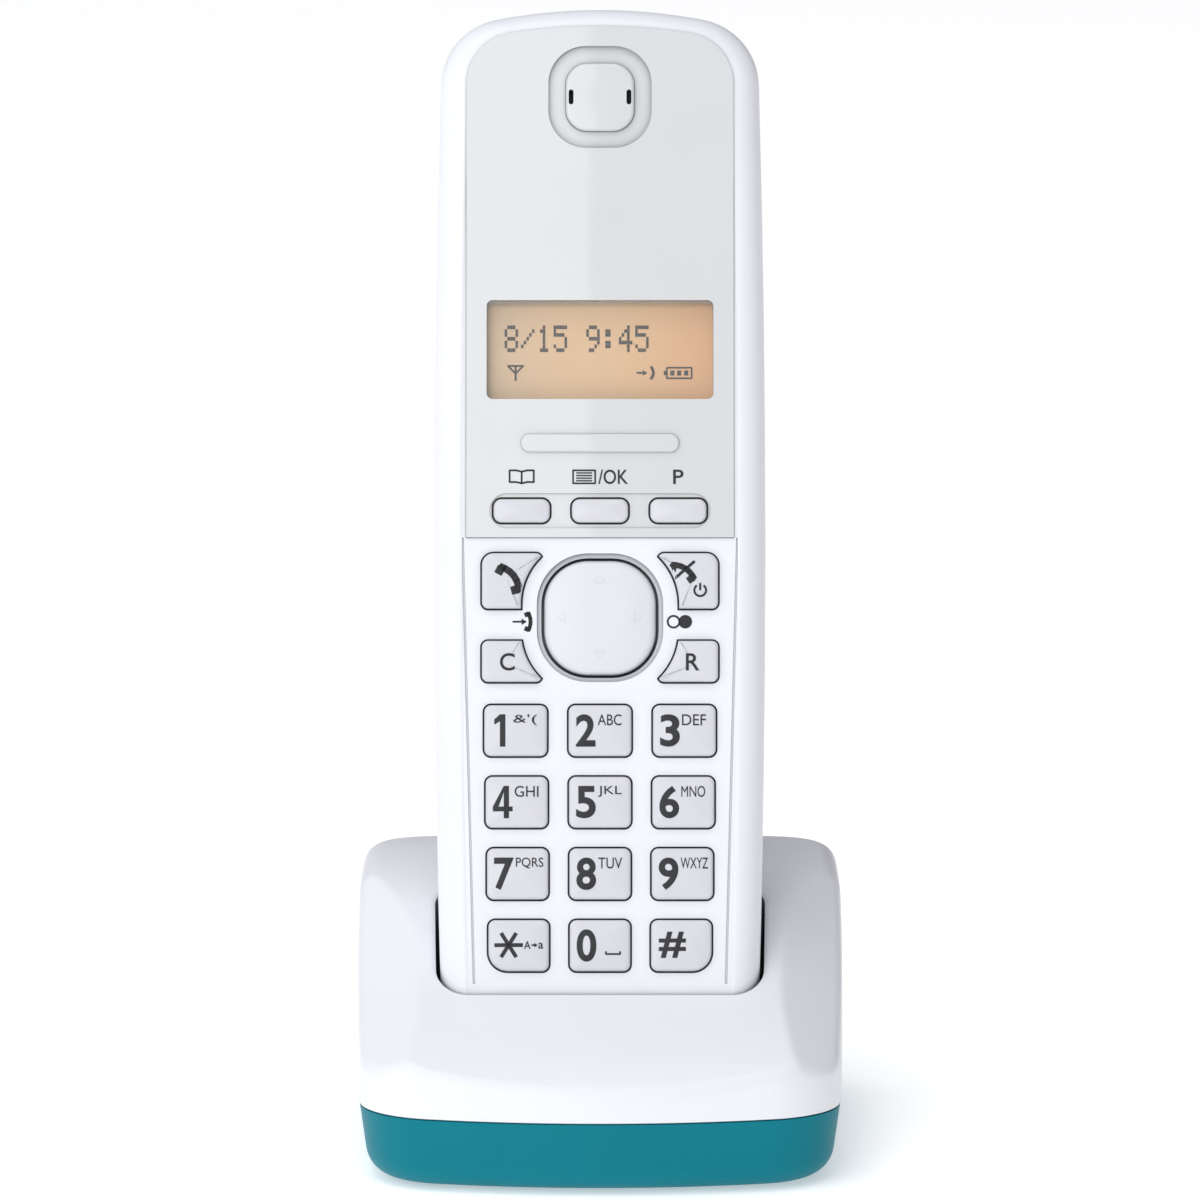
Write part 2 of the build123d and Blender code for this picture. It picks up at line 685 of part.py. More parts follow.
# ---- Handset electronics and power ----
def handset_board():
    """Main circuit board, with holes for the screw bosses."""
    middle = (BOARD_TOP + BOARD_BOTTOM) / 2
    outline = rounded(BOARD_WIDTH, BOARD_TOP - BOARD_BOTTOM, BOARD_CORNER, 0, middle)
    board = slab(outline, BOARD_DEPTH, BOARD_DEPTH + BOARD_THICKNESS)
    holes = [slab(disc(BOSS_RADIUS + HOLE_GAP, x, z), 0, FAR) for x, z in screw_places()]
    return board - holes


def handset_shield():
    """Metal can over the radio circuit on the back of the board."""
    near = BOARD_DEPTH + BOARD_THICKNESS
    width, height, thickness = SHIELD_SIZE
    return slab(rounded(width, height, CAN_CORNER, 0, SHIELD_HEIGHT), near, near + thickness)


def microphone():
    """Microphone capsule behind its hole at the foot of the front wall."""
    return slab(disc(MIC_RADIUS, 0, MIC_HEIGHT), FACE_WALL, FACE_WALL + MIC_THICKNESS)


def ringer_depth():
    """Depth of the rear wall's inner face at the ringer, less what the back's bow takes off."""
    half_span = HANDSET_LENGTH - WAIST_HEIGHT
    drop = (WAIST_DEPTH - HEAD_DEPTH) * ((RING_HEIGHT + RING_RADIUS - WAIST_HEIGHT) / half_span) ** 2
    return WAIST_DEPTH - drop - WALL


def ringer_speaker():
    """Speaker behind the slots in the rear cover."""
    far = ringer_depth()
    can = slab(disc(RING_RADIUS, 0, RING_HEIGHT), far - RING_THICKNESS, far)
    front = far - RING_THICKNESS
    return can + slab(disc(RING_RADIUS / 2, 0, RING_HEIGHT), front - MAGNET_THICKNESS, front)


def battery_cells():
    """Two rechargeable AAA cells, side by side and head to tail."""
    cells = []
    for side in (-1, 1):
        cell = Pos(0, 0, CELL_LENGTH / 2) * Cylinder(CELL_RADIUS, CELL_LENGTH)
        cell += Pos(0, 0, CELL_LENGTH + CELL_PIP_LENGTH / 2) * Cylinder(CELL_PIP_RADIUS, CELL_PIP_LENGTH)
        turn = Rot(0, 90 + 90 * side, 0)
        foot = BAY_CENTRE + side * (BAY_LENGTH / 2 - TAB_THICKNESS - SPRING_ROOM)
        cells.append(Pos(side * CELL_SPACING / 2, CELL_DEPTH, foot) * turn * cell)
    return Compound(children=cells)


def battery_contacts():
    """A plate at each end of each cell, with a spring at the cell's flat end."""
    pieces = []
    half = BAY_LENGTH / 2
    for side in (-1, 1):
        spring = Pos(0, 0, half - TAB_THICKNESS - SPRING_ROOM / 2) * Cone(*SPRING_RADII, SPRING_ROOM)
        plate = Pos(0, 0, half - TAB_THICKNESS / 2) * Box(TAB_WIDTH, TAB_WIDTH, TAB_THICKNESS)
        place = Pos(side * CELL_SPACING / 2, CELL_DEPTH, BAY_CENTRE)
        turn = Rot(0, 90 - 90 * side, 0)
        pieces += [place * turn * (plate + spring), place * turn * Rot(0, 180, 0) * plate]
    return Compound(children=pieces)


def contact_plate(side, foot=CONTACT_SUNK):
    """Charging plate let into the foot of the front cover, with a tab to the board."""
    x = side * CONTACT_X
    width, depth = CONTACT_SIZE
    tab_width, tab_thick, tab_height = CONTACT_TAB
    plate = block(
        (x - width / 2, CONTACT_DEPTH - depth / 2, foot),
        (x + width / 2, CONTACT_DEPTH + depth / 2, WALL),
    )
    tab = block(
        (x - tab_width / 2, CONTACT_DEPTH - tab_thick / 2, WALL),
        (x + tab_width / 2, CONTACT_DEPTH + tab_thick / 2, WALL + tab_height),
    )
    return plate + tab


def handset_contacts():
    """The two charging plates."""
    return Compound(children=[contact_plate(-1), contact_plate(1)])


def cross_bars():
    """The two bars of a screw head's cross."""
    return [Rectangle(CROSS_LENGTH, CROSS_WIDTH), Rectangle(CROSS_WIDTH, CROSS_LENGTH)]


def handset_screws():
    """The two screws that join the handset's shells."""
    seat = PARTING_DEPTH + SCREW_SEAT
    screws = []
    for x, z in screw_places():
        head = slab(disc(SCREW_HEAD_RADIUS, x, z), seat, seat + SCREW_HEAD_HEIGHT)
        shank = slab(disc(SCREW_SHANK_RADIUS, x, z), seat - SCREW_LENGTH, seat)
        floor = seat + SCREW_HEAD_HEIGHT - CROSS_DEPTH
        cross = [slab(Pos(x, z) * bar, floor, FAR) for bar in cross_bars()]
        screws.append(head + shank - cross)
    return Compound(children=screws)


# ---- Base shells ----
def base_outline(inset=0.0):
    """Plan outline of the base: bowed front, nearly straight sides, rounded corners."""
    half_width = BASE_WIDTH / 2 - inset
    half_depth = BASE_DEPTH / 2 - inset
    side_x = half_width - SIDE_BOW
    front_y = FRONT_BOW - half_depth
    rear_y = half_depth - REAR_BOW
    edges = Curve() + [
        ThreePointArc((-side_x, front_y), (0, -half_depth), (side_x, front_y)),
        ThreePointArc((side_x, front_y), (half_width, 0), (side_x, rear_y)),
        ThreePointArc((side_x, rear_y), (0, half_depth), (-side_x, rear_y)),
        ThreePointArc((-side_x, rear_y), (-half_width, 0), (-side_x, front_y)),
    ]
    face = make_face(edges)
    corners = face.vertices().sort_by(Axis.Y)
    face = fillet(corners[2:], REAR_CORNER - inset)
    corners = face.vertices().sort_by(Axis.Y)
    return fillet(corners[:2], FRONT_CORNER - inset)


def facet_cut(side, inset=0.0):
    """What is cut away above the sloping facet between the cradle's lip and one side."""
    corners = [Vector(side * x, y, z) for x, y, z in (FACET_FRONT, FACET_REAR, FACET_LIP)]
    normal = (corners[1] - corners[0]).cross(corners[2] - corners[0]) * side
    facet = Plane(origin=corners[0], z_dir=normal).offset(-inset)
    return extrude(facet * Rectangle(4 * BASE_DEPTH, 4 * BASE_DEPTH), amount=2 * FAR)


def cover_body(inset=0.0):
    """Closed shape of the base's white cover, from the seam up, taken in by inset."""
    half_depth = BASE_DEPTH / 2
    front = (-half_depth, BAND_TOP - inset)
    rear = (half_depth, BASE_REAR_HEIGHT - inset)
    crown = (0, (BAND_TOP + BASE_REAR_HEIGHT) / 2 + TOP_CROWN - inset)
    top = ThreePointArc(front, crown, rear)
    rest = Polyline(rear, (half_depth, SEAM_HEIGHT), (-half_depth, SEAM_HEIGHT), front)
    profile = make_face(Curve() + [top, rest])
    blank = extrude(Pos(0, 0, SEAM_HEIGHT) * base_outline(inset), amount=FAR)
    body = blank & extrude(Plane.YZ * profile, amount=BASE_WIDTH, both=True)
    body -= [facet_cut(side, inset) for side in (-1, 1)]
    top_faces = body.faces().filter_by(lambda f: f.normal_at(f.center()).Z > 0.3)
    top_edges = ShapeList(set(e for f in top_faces for e in f.edges()))
    return fillet(top_edges, SHOULDER_ROUND - inset)


def case_body(inset=0.0):
    """Closed shape of the base's lower case: drafted sides and a rounded bottom edge."""
    depth = SEAM_HEIGHT - FOOT_LIFT - inset
    plan = Pos(0, 0, SEAM_HEIGHT) * base_outline(inset)
    body = extrude(plan, amount=depth, dir=(0, 0, -1), taper=CASE_DRAFT)
    floor_edges = body.faces().sort_by(Axis.Z)[0].edges()
    return fillet(floor_edges, CASE_ROUND - inset)


def seam_groove():
    """Fine groove round the base where its two shells meet."""
    low = SEAM_HEIGHT - GROOVE_WIDTH / 2
    around = extrude(Pos(0, 0, low) * Rectangle(2 * BASE_WIDTH, 2 * BASE_DEPTH), amount=GROOVE_WIDTH)
    return around - extrude(Pos(0, 0, low) * base_outline(GROOVE_DEPTH), amount=GROOVE_WIDTH)


def base_screw_places():
    """Plan positions of the four screws that close the base."""
    return [(side * BASE_SCREW_X, y) for side in (-1, 1) for y in BASE_SCREW_Y]


def pad_places():
    """Plan positions of the four feet."""
    return [(side * PAD_X, y) for side in (-1, 1) for y in PAD_Y]


def post_places():
    """Plan positions of the board's four posts."""
    half_x = BOARD2_SIZE[0] / 2 - POST_INSET
    half_y = BOARD2_SIZE[1] / 2 - POST_INSET
    return [(x, BOARD2_CENTRE_Y + y) for x in (-half_x, half_x) for y in (-half_y, half_y)]


def jack_front():
    """Rear face of the two jacks, just inside the rear wall's outer face."""
    return BASE_DEPTH / 2 - JACK_SUNK


def jack_block(side, size, gap=0.0, reach=0.0):
    """Envelope of one jack on the base's board, grown by gap and drawn out rearwards by reach."""
    x = side * JACK_X
    front = jack_front()
    low = (x - size[0] / 2 - gap, front - size[1], BOARD2_TOP - gap)
    high = (x + size[0] / 2 + gap, front + reach, BOARD2_TOP + size[2] + gap)
    return block(low, high)


def page_height():
    """Height of the cover's top at the locator button, on the crown's chord arc."""
    half_depth = BASE_DEPTH / 2
    front = Vector(-half_depth, BAND_TOP)
    rear = Vector(half_depth, BASE_REAR_HEIGHT)
    crown = Vector(0, (BAND_TOP + BASE_REAR_HEIGHT) / 2 + TOP_CROWN)
    arc = ThreePointArc(front, crown, rear)
    upright = Line((PAGE_Y, 0), (PAGE_Y, 2 * BASE_REAR_HEIGHT))
    return arc.intersect(upright).vertices()[0].Y


def on_skin(edge, body):
    """Whether the middle of an edge lies on a body's surface."""
    middle = edge.position_at(0.5)
    return min(face.distance_to(middle) for face in body.faces()) < MOUTH_TOUCH


def mouth_round(outer, well):
    """What rounding the cradle's mouth takes off the cover."""
    sharp = outer - well
    upper = [e for e in sharp.edges() if e.center().Z > MOUTH_LOWEST]
    mouth = [e for e in upper if on_skin(e, outer) and on_skin(e, well)]
    return sharp - fillet(mouth, MOUTH_ROUND)


def base_cover():
    """White cover with the cradle well, screw bosses and openings for jacks and locator button."""
    outer = cover_body()
    room = extrude(Pos(0, 0, CASE_FLOOR + PLAY) * base_outline(2 * BASE_WALL), amount=SEAM_HEIGHT)
    cradle = stand(handset_body(-CRADLE_GAP - CRADLE_WALL)) & (outer + room)
    well = stand(handset_body(-CRADLE_GAP))
    cover = outer - cover_body(BASE_WALL) + cradle
    inner_top = cover_body(BASE_WALL / 2)
    for x, y in base_screw_places():
        boss = rod(BASE_BOSS_RADIUS, x, y, BASE_SCREW_SEAT + BASE_TUBE_WALL, FAR)
        cover += boss & (inner_top + room)
    cover -= [well, mouth_round(outer, well)]
    jacks = ((-1, LINE_SIZE), (1, DC_SIZE))
    cuts = [jack_block(side, size, JACK_GAP, BASE_WALL) for side, size in jacks]
    cuts.append(rod(PAGE_RADIUS + PAGE_GAP, 0, PAGE_Y, BASE_REAR_HEIGHT / 2, FAR))
    cuts.append(seam_groove())
    for x, y in base_screw_places():
        top = BASE_SCREW_SEAT + BASE_SCREW_LENGTH + MERGE
        cuts.append(rod(BASE_SCREW_RADIUS + PILOT_GAP, x, y, 0, top))
    cuts += [stand(prong_shape(side)) for side in (-1, 1)]
    return cover - cuts


def base_case():
    """Coloured lower case with screw tubes, board posts and seats for the feet."""
    solid = case_body()
    mouth = extrude(Pos(0, 0, SEAM_HEIGHT - EXTRA) * base_outline(BASE_WALL), amount=2 * EXTRA)
    case = solid - (case_body(BASE_WALL) + mouth)
    for x, y in base_screw_places():
        radius = BASE_SCREW_HEAD_RADIUS + PAGE_GAP + BASE_TUBE_WALL
        case += rod(radius, x, y, 0, BASE_SCREW_SEAT + BASE_TUBE_WALL) & solid
    for x, y in post_places():
        case += rod(POST_RADIUS, x, y, CASE_FLOOR - MERGE, BOARD2_HEIGHT) & solid
    cuts = []
    for x, y in base_screw_places():
        cuts.append(rod(BASE_SCREW_HEAD_RADIUS + PAGE_GAP, x, y, -1, BASE_SCREW_SEAT))
        cuts.append(rod(BASE_SCREW_RADIUS + PILOT_GAP, x, y, 0, SEAM_HEIGHT))
    cuts += [rod(PAD_RADIUS, x, y, -1, PAD_THICKNESS) for x, y in pad_places()]
    cuts.append(seam_groove())
    return case - cuts


def base_feet():
    """Four rubber pads."""
    return Compound(children=[rod(PAD_RADIUS, x, y, 0, PAD_THICKNESS) for x, y in pad_places()])


def base_screws():
    """Four screws that join the base's shells."""
    screws = []
    for x, y in base_screw_places():
        head = rod(BASE_SCREW_HEAD_RADIUS, x, y, BASE_SCREW_SEAT - BASE_SCREW_HEAD_HEIGHT, BASE_SCREW_SEAT)
        shank = rod(BASE_SCREW_RADIUS, x, y, BASE_SCREW_SEAT, BASE_SCREW_SEAT + BASE_SCREW_LENGTH)
        low = BASE_SCREW_SEAT - BASE_SCREW_HEAD_HEIGHT
        cross = [extrude(Pos(x, y, low) * bar, amount=CROSS_DEPTH) for bar in cross_bars()]
        screws.append(head + shank - cross)
    return Compound(children=screws)


# ---- Base electronics ----
def base_board():
    """Base circuit board on its four posts."""
    board = Pos(0, BOARD2_CENTRE_Y, BOARD2_HEIGHT + BOARD2_SIZE[2] / 2) * Box(*BOARD2_SIZE)
    return fillet(board.edges().filter_by(Axis.Z), BOARD2_CORNER)


def base_shield():
    """Metal can over the radio circuit, under the board."""
    width, depth, height = CAN_SIZE
    can = Pos(0, BOARD2_CENTRE_Y, BOARD2_HEIGHT - height / 2) * Box(width, depth, height)
    return fillet(can.edges().filter_by(Axis.Z), CAN_CORNER)


def line_jack():
    """Telephone line socket: a square mouth with a latch groove above it."""
    body = jack_block(-1, LINE_SIZE)
    x = -JACK_X
    front = jack_front()
    width, depth, height = LINE_SOCKET
    floor = BOARD2_TOP + LINE_FLOOR
    roof = floor + height
    low = (x - width / 2, front - depth, floor)
    mouth = block(low, (x + width / 2, front + EXTRA, roof))
    latch_width, latch_height = LINE_LATCH
    low = (x - latch_width / 2, front - depth, roof - EXTRA)
    groove = block(low, (x + latch_width / 2, front + EXTRA, roof + latch_height))
    return body - [mouth, groove]


def dc_jack():
    """Power socket: a round mouth with a centre pin."""
    body = jack_block(1, DC_SIZE)
    front = jack_front()
    height = BOARD2_TOP + DC_SIZE[2] / 2
    along = Pos(JACK_X, front - DC_BORE_LENGTH / 2, height) * Rot(90, 0, 0)
    bore = Pos(0, MERGE, 0) * along * Cylinder(DC_BORE_RADIUS, DC_BORE_LENGTH + EXTRA)
    pin = Pos(0, -MERGE, 0) * along * Cylinder(DC_PIN_RADIUS, DC_BORE_LENGTH)
    return body - bore + pin


def prong_shape(side):
    """One charging contact, drawn in the handset's frame: it stands through the cradle's floor."""
    width, depth = PRONG_SIZE
    x = side * CONTACT_X
    low = -CRADLE_GAP - CRADLE_WALL - PRONG_TAIL
    prong = block(
        (x - width / 2, CONTACT_DEPTH - depth / 2, low),
        (x + width / 2, CONTACT_DEPTH + depth / 2, CONTACT_SUNK - PRONG_GAP),
    )
    return fillet(prong.faces().sort_by(Axis.Z)[-1].edges().filter_by(Axis.X), SMALL_ROUND)


def base_contacts():
    """The two charging contacts in the cradle."""
    return Compound(children=[stand(prong_shape(-1)), stand(prong_shape(1))])


def locator_button():
    """Round button on the base's top, with a stem down to its switch."""
    top = page_height() + PAGE_PROUD
    underside = page_height() - BASE_WALL - PAGE_DROP
    foot = BOARD2_TOP + SWITCH_SIZE[2] + SWITCH_PIP_HEIGHT + PLUNGER_GAP + PAGE_TRAVEL
    button = rod(PAGE_RADIUS, 0, PAGE_Y, underside - PAGE_FLANGE, top)
    button = fillet(button.faces().sort_by(Axis.Z)[-1].edges(), SMALL_ROUND)
    button += rod(PAGE_RADIUS + PAGE_LIP, 0, PAGE_Y, underside - PAGE_FLANGE, underside)
    return button + rod(PAGE_STEM_RADIUS, 0, PAGE_Y, foot, underside)


def locator_switch():
    """Push switch under the locator button."""
    width, depth, height = SWITCH_SIZE
    body = Pos(0, PAGE_Y, BOARD2_TOP + height / 2) * Box(width, depth, height)
    top = BOARD2_TOP + height
    return body + rod(SWITCH_PIP_RADIUS, 0, PAGE_Y, top, top + SWITCH_PIP_HEIGHT)


def handset_parts():
    """Every handset piece in the handset's own frame, by node."""
    parts = {
        "front_cover": front_cover(),
        "rear_cover": rear_cover(),
        "battery_cover": battery_cover(),
        "upper_panel": upper_panel(),
        "earpiece_cap": earpiece_cap(),
        "earpiece_speaker": earpiece_speaker(),
        "display_window": display_window(),
        "lcd_glass": lcd_glass(),
        "lcd_light_guide": lcd_light_guide(),
        "lcd_holder": lcd_holder(),
        "keypad_mat": keypad_mat(),
        "handset_board": handset_board(),
        "handset_shield": handset_shield(),
        "microphone": microphone(),
        "ringer_speaker": ringer_speaker(),
        "battery_cells": battery_cells(),
        "battery_contacts": battery_contacts(),
        "handset_contacts": handset_contacts(),
        "handset_screws": handset_screws(),
        "navigator": navigator(),
        "nav_pivot": nav_pivot(),
    }
    for name, outline in fixed_key_outlines().items():
        parts[name] = press_key(outline)
    return parts


def base_parts():
    """Every base piece, by node."""
    return {
        "base_cover": base_cover(),
        "base_case": base_case(),
        "base_feet": base_feet(),
        "base_screws": base_screws(),
        "base_board": base_board(),
        "base_shield": base_shield(),
        "base_contacts": base_contacts(),
        "line_jack": line_jack(),
        "dc_jack": dc_jack(),
        "locator_button": locator_button(),
        "locator_switch": locator_switch(),
    }


def main():
    """Build every piece and write it to its own file."""
    os.makedirs("parts", exist_ok=True)
    pieces = {name: stand(shape) for name, shape in handset_parts().items()}
    pieces.update(base_parts())
    for name, shape in pieces.items():
        export_step(shape, f"parts/{name}.step")


if __name__ == "__main__":
    main()
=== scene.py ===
"""Looks for a cordless telephone handset standing in its charging base.

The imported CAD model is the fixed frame. This script gives its solids their
finishes, replaces the keys with softly domed caps, prints the legends, lights
the display, and sets up a pale floor, soft studio light and the camera.
"""

import json
import logging
import math
from dataclasses import dataclass, field
from enum import Enum
from typing import Callable, Iterable, Sequence

import bmesh
import bpy
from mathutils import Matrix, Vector
from mathutils.bvhtree import BVHTree

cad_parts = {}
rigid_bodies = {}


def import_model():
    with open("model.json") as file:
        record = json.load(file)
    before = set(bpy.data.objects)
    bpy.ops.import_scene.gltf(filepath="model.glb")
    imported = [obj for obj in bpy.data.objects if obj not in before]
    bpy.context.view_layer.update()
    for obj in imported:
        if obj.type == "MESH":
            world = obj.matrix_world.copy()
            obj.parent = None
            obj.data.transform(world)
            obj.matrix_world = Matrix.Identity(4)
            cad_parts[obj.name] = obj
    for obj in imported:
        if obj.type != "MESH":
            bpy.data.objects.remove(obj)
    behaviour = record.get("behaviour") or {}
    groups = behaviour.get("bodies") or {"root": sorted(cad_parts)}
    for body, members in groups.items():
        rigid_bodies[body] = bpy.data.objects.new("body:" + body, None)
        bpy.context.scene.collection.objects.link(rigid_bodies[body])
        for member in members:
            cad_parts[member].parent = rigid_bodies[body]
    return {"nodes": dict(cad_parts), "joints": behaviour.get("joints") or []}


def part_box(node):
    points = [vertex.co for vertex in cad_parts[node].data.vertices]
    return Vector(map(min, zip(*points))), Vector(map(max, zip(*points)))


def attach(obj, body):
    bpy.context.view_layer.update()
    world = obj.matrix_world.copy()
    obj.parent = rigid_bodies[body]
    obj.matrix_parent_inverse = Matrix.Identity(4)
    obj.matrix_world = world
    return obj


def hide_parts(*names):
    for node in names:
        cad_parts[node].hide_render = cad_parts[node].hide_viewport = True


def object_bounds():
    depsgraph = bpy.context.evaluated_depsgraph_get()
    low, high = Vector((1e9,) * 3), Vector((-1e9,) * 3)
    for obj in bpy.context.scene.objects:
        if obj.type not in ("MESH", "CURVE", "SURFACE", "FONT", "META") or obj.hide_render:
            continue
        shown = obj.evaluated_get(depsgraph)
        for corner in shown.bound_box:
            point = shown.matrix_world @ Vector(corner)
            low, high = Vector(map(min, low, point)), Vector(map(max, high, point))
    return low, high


for leftover in list(bpy.data.objects):
    bpy.data.objects.remove(leftover)

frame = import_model()
CAD_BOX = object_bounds()

LOG = logging.getLogger("cordless_phone")
MM = 0.001
Point = tuple[float, float]
Outline = list[Point]


def linear(hex_colour: str) -> tuple[float, float, float, float]:
    """Turns an sRGB hex colour into the linear colour that shaders use.

    Args:
        hex_colour: Colour such as "#1a8a97".

    Returns:
        Linear red, green and blue with an alpha of 1.
    """
    digits = hex_colour.lstrip("#")
    parts = [int(digits[i : i + 2], 16) / 255 for i in (0, 2, 4)]
    red, green, blue = (p / 12.92 if p <= 0.04045 else ((p + 0.055) / 1.055) ** 2.4 for p in parts)
    return (red, green, blue, 1.0)


def add_node(
    tree: bpy.types.NodeTree,
    kind: str,
    values: dict | None = None,
    links: dict | None = None,
    **settings: object,
) -> bpy.types.Node:
    """Adds one node with its settings, constant inputs and incoming links.

    Args:
        tree: Node tree that gets the node.
        kind: Type name of the node.
        values: Constants by input name or number.
        links: Source sockets by input name or number.
        **settings: Properties of the node itself.

    Returns:
        The new node.
    """
    node = tree.nodes.new(kind)
    for name, value in settings.items():
        setattr(node, name, value)
    for name, value in (values or {}).items():
        node.inputs[name].default_value = value
    for name, socket in (links or {}).items():
        tree.links.new(socket, node.inputs[name])
    return node


def new_material(name: str) -> tuple[bpy.types.Material, bpy.types.NodeTree]:
    """Makes an empty node material.

    Args:
        name: Name of the material.

    Returns:
        The material and its cleared node tree.
    """
    material = bpy.data.materials.new(name)
    material.use_nodes = True
    material.node_tree.nodes.clear()
    return material, material.node_tree


def finish_surface(tree: bpy.types.NodeTree, shader: bpy.types.Node) -> None:
    """Links a shader to the material output.

    Args:
        tree: Node tree of the material.
        shader: Last shader node.
    """
    add_node(tree, "ShaderNodeOutputMaterial", links={"Surface": shader.outputs[0]})


@dataclass(frozen=True)
class MouldedPlastic:
    """Injection-moulded plastic with a spark-eroded or polished mould face.

    The grain gives the fine sparkle of a textured mould, and the slow drift
    of tone and polish keeps large faces from looking painted.
    """

    name: str
    colour: str
    drift_colour: str
    roughness: float
    roughness_drift: float = 0.05
    grain_mm: float = 0.18
    grain_depth_mm: float = 0.004
    coat: float = 0.0
    coat_roughness: float = 0.05
    subsurface: float = 0.0
    specular: float = 0.5
    # Grey of the painted shade in narrow gaps and moats, and how far the hollows that get it reach.
    hollow_shade_colour: str = ""
    hollow_shade_reach_mm: float = 1.5

    def shade_hollows(self, tree: bpy.types.NodeTree, tone: bpy.types.NodeSocket) -> bpy.types.NodeSocket:
        """Paints shade into the colour: greys it in narrow gaps and moats, where little light reaches, as an ambient
        occlusion node finds them.

        Args:
            tree: Node tree of the material.
            tone: Colour of the open surface.

        Returns:
            The shaded colour.
        """
        reach = add_node(tree, "ShaderNodeAmbientOcclusion", values={"Distance": self.hollow_shade_reach_mm * MM}, samples=6)
        depth = add_node(
            tree,
            "ShaderNodeMapRange",
            values={"From Min": 0.35, "From Max": 0.95, "To Min": 1.0, "To Max": 0.0},
            links={"Value": reach.outputs["AO"]},
        )
        shaded = add_node(
            tree,
            "ShaderNodeMix",
            data_type="RGBA",
            values={7: linear(self.hollow_shade_colour)},
            links={0: depth.outputs[0], 6: tone},
        )
        return shaded.outputs[2]

    def build(self) -> bpy.types.Material:
        """Builds the material."""
        material, tree = new_material(self.name)
        place = add_node(tree, "ShaderNodeTexCoord").outputs["Object"]
        grain = add_node(
            tree,
            "ShaderNodeTexNoise",
            values={"Scale": 1 / (self.grain_mm * MM), "Detail": 2.0, "Roughness": 0.55},
            links={"Vector": place},
        )
        drift = add_node(
            tree,
            "ShaderNodeTexNoise",
            values={"Scale": 70.0, "Detail": 3.0, "Roughness": 0.5},
            links={"Vector": place},
        )
        tone = add_node(
            tree,
            "ShaderNodeMix",
            data_type="RGBA",
            values={6: linear(self.colour), 7: linear(self.drift_colour)},
            links={0: drift.outputs["Fac"]},
        )
        polish = add_node(
            tree,
            "ShaderNodeMapRange",
            values={
                "To Min": self.roughness - self.roughness_drift,
                "To Max": self.roughness + self.roughness_drift,
            },
            links={"Value": drift.outputs["Fac"]},
        )
        bump = add_node(
            tree,
            "ShaderNodeBump",
            values={"Strength": 0.6, "Distance": self.grain_depth_mm * MM},
            links={"Height": grain.outputs["Fac"]},
        )
        colour = tone.outputs[2]
        # Painted shade: the colour turns grey in gaps and moats.
        if self.hollow_shade_colour:
            colour = self.shade_hollows(tree, colour)
        shader = add_node(
            tree,
            "ShaderNodeBsdfPrincipled",
            values={
                "IOR": 1.5,
                "Specular IOR Level": self.specular,
                "Coat Weight": self.coat,
                "Coat Roughness": self.coat_roughness,
                "Subsurface Weight": self.subsurface,
                "Subsurface Scale": 0.6 * MM,
            },
            links={
                "Base Color": colour,
                "Roughness": polish.outputs[0],
                "Normal": bump.outputs["Normal"],
            },
        )
        finish_surface(tree, shader)
        return material


@dataclass(frozen=True)
class PlatedMetal:
    """Rolled or plated metal with fine drawing lines and slight tarnish."""

    name: str
    colour: str
    tarnish: str
    roughness: float
    line_mm: float = 0.12

    def build(self) -> bpy.types.Material:
        """Builds the material."""
        material, tree = new_material(self.name)
        place = add_node(tree, "ShaderNodeTexCoord").outputs["Object"]
        stretch = add_node(tree, "ShaderNodeMapping", values={"Scale": (1.0, 0.06, 0.06)}, links={"Vector": place})
        lines = add_node(
            tree,
            "ShaderNodeTexNoise",
            values={"Scale": 1 / (self.line_mm * MM), "Detail": 3.0},
            links={"Vector": stretch.outputs[0]},
        )
        spots = add_node(tree, "ShaderNodeTexNoise", values={"Scale": 400.0, "Detail": 4.0}, links={"Vector": place})
        tone = add_node(
            tree,
            "ShaderNodeMix",
            data_type="RGBA",
            values={6: linear(self.colour), 7: linear(self.tarnish)},
            links={0: spots.outputs["Fac"]},
        )
        polish = add_node(
            tree,
            "ShaderNodeMapRange",
            values={"To Min": self.roughness * 0.7, "To Max": self.roughness * 1.4},
            links={"Value": lines.outputs["Fac"]},
        )
        bump = add_node(
            tree,
            "ShaderNodeBump",
            values={"Strength": 0.4, "Distance": 0.004 * MM},
            links={"Height": lines.outputs["Fac"]},
        )
        shader = add_node(
            tree,
            "ShaderNodeBsdfPrincipled",
            values={"Metallic": 1.0},
            links={
                "Base Color": tone.outputs[2],
                "Roughness": polish.outputs[0],
                "Normal": bump.outputs["Normal"],
            },
        )
        finish_surface(tree, shader)
        return material


@dataclass(frozen=True)
class ClearWindow:
    """Polished clear acrylic: only its gloss and a faint haze are seen."""

    name: str
    tint: str = "#f4f1ec"
    haze: float = 0.07

    def build(self) -> bpy.types.Material:
        """Builds the material."""
        material, tree = new_material(self.name)
        place = add_node(tree, "ShaderNodeTexCoord").outputs["Object"]
        wipes = add_node(tree, "ShaderNodeTexNoise", values={"Scale": 260.0, "Detail": 4.0}, links={"Vector": place})
        polish = add_node(
            tree,
            "ShaderNodeMapRange",
            values={"To Min": 0.03, "To Max": 0.09},
            links={"Value": wipes.outputs["Fac"]},
        )
        shader = add_node(
            tree,
            "ShaderNodeBsdfPrincipled",
            values={"Base Color": linear(self.tint), "Alpha": self.haze, "IOR": 1.49},
            links={"Roughness": polish.outputs[0]},
        )
        finish_surface(tree, shader)
        return material


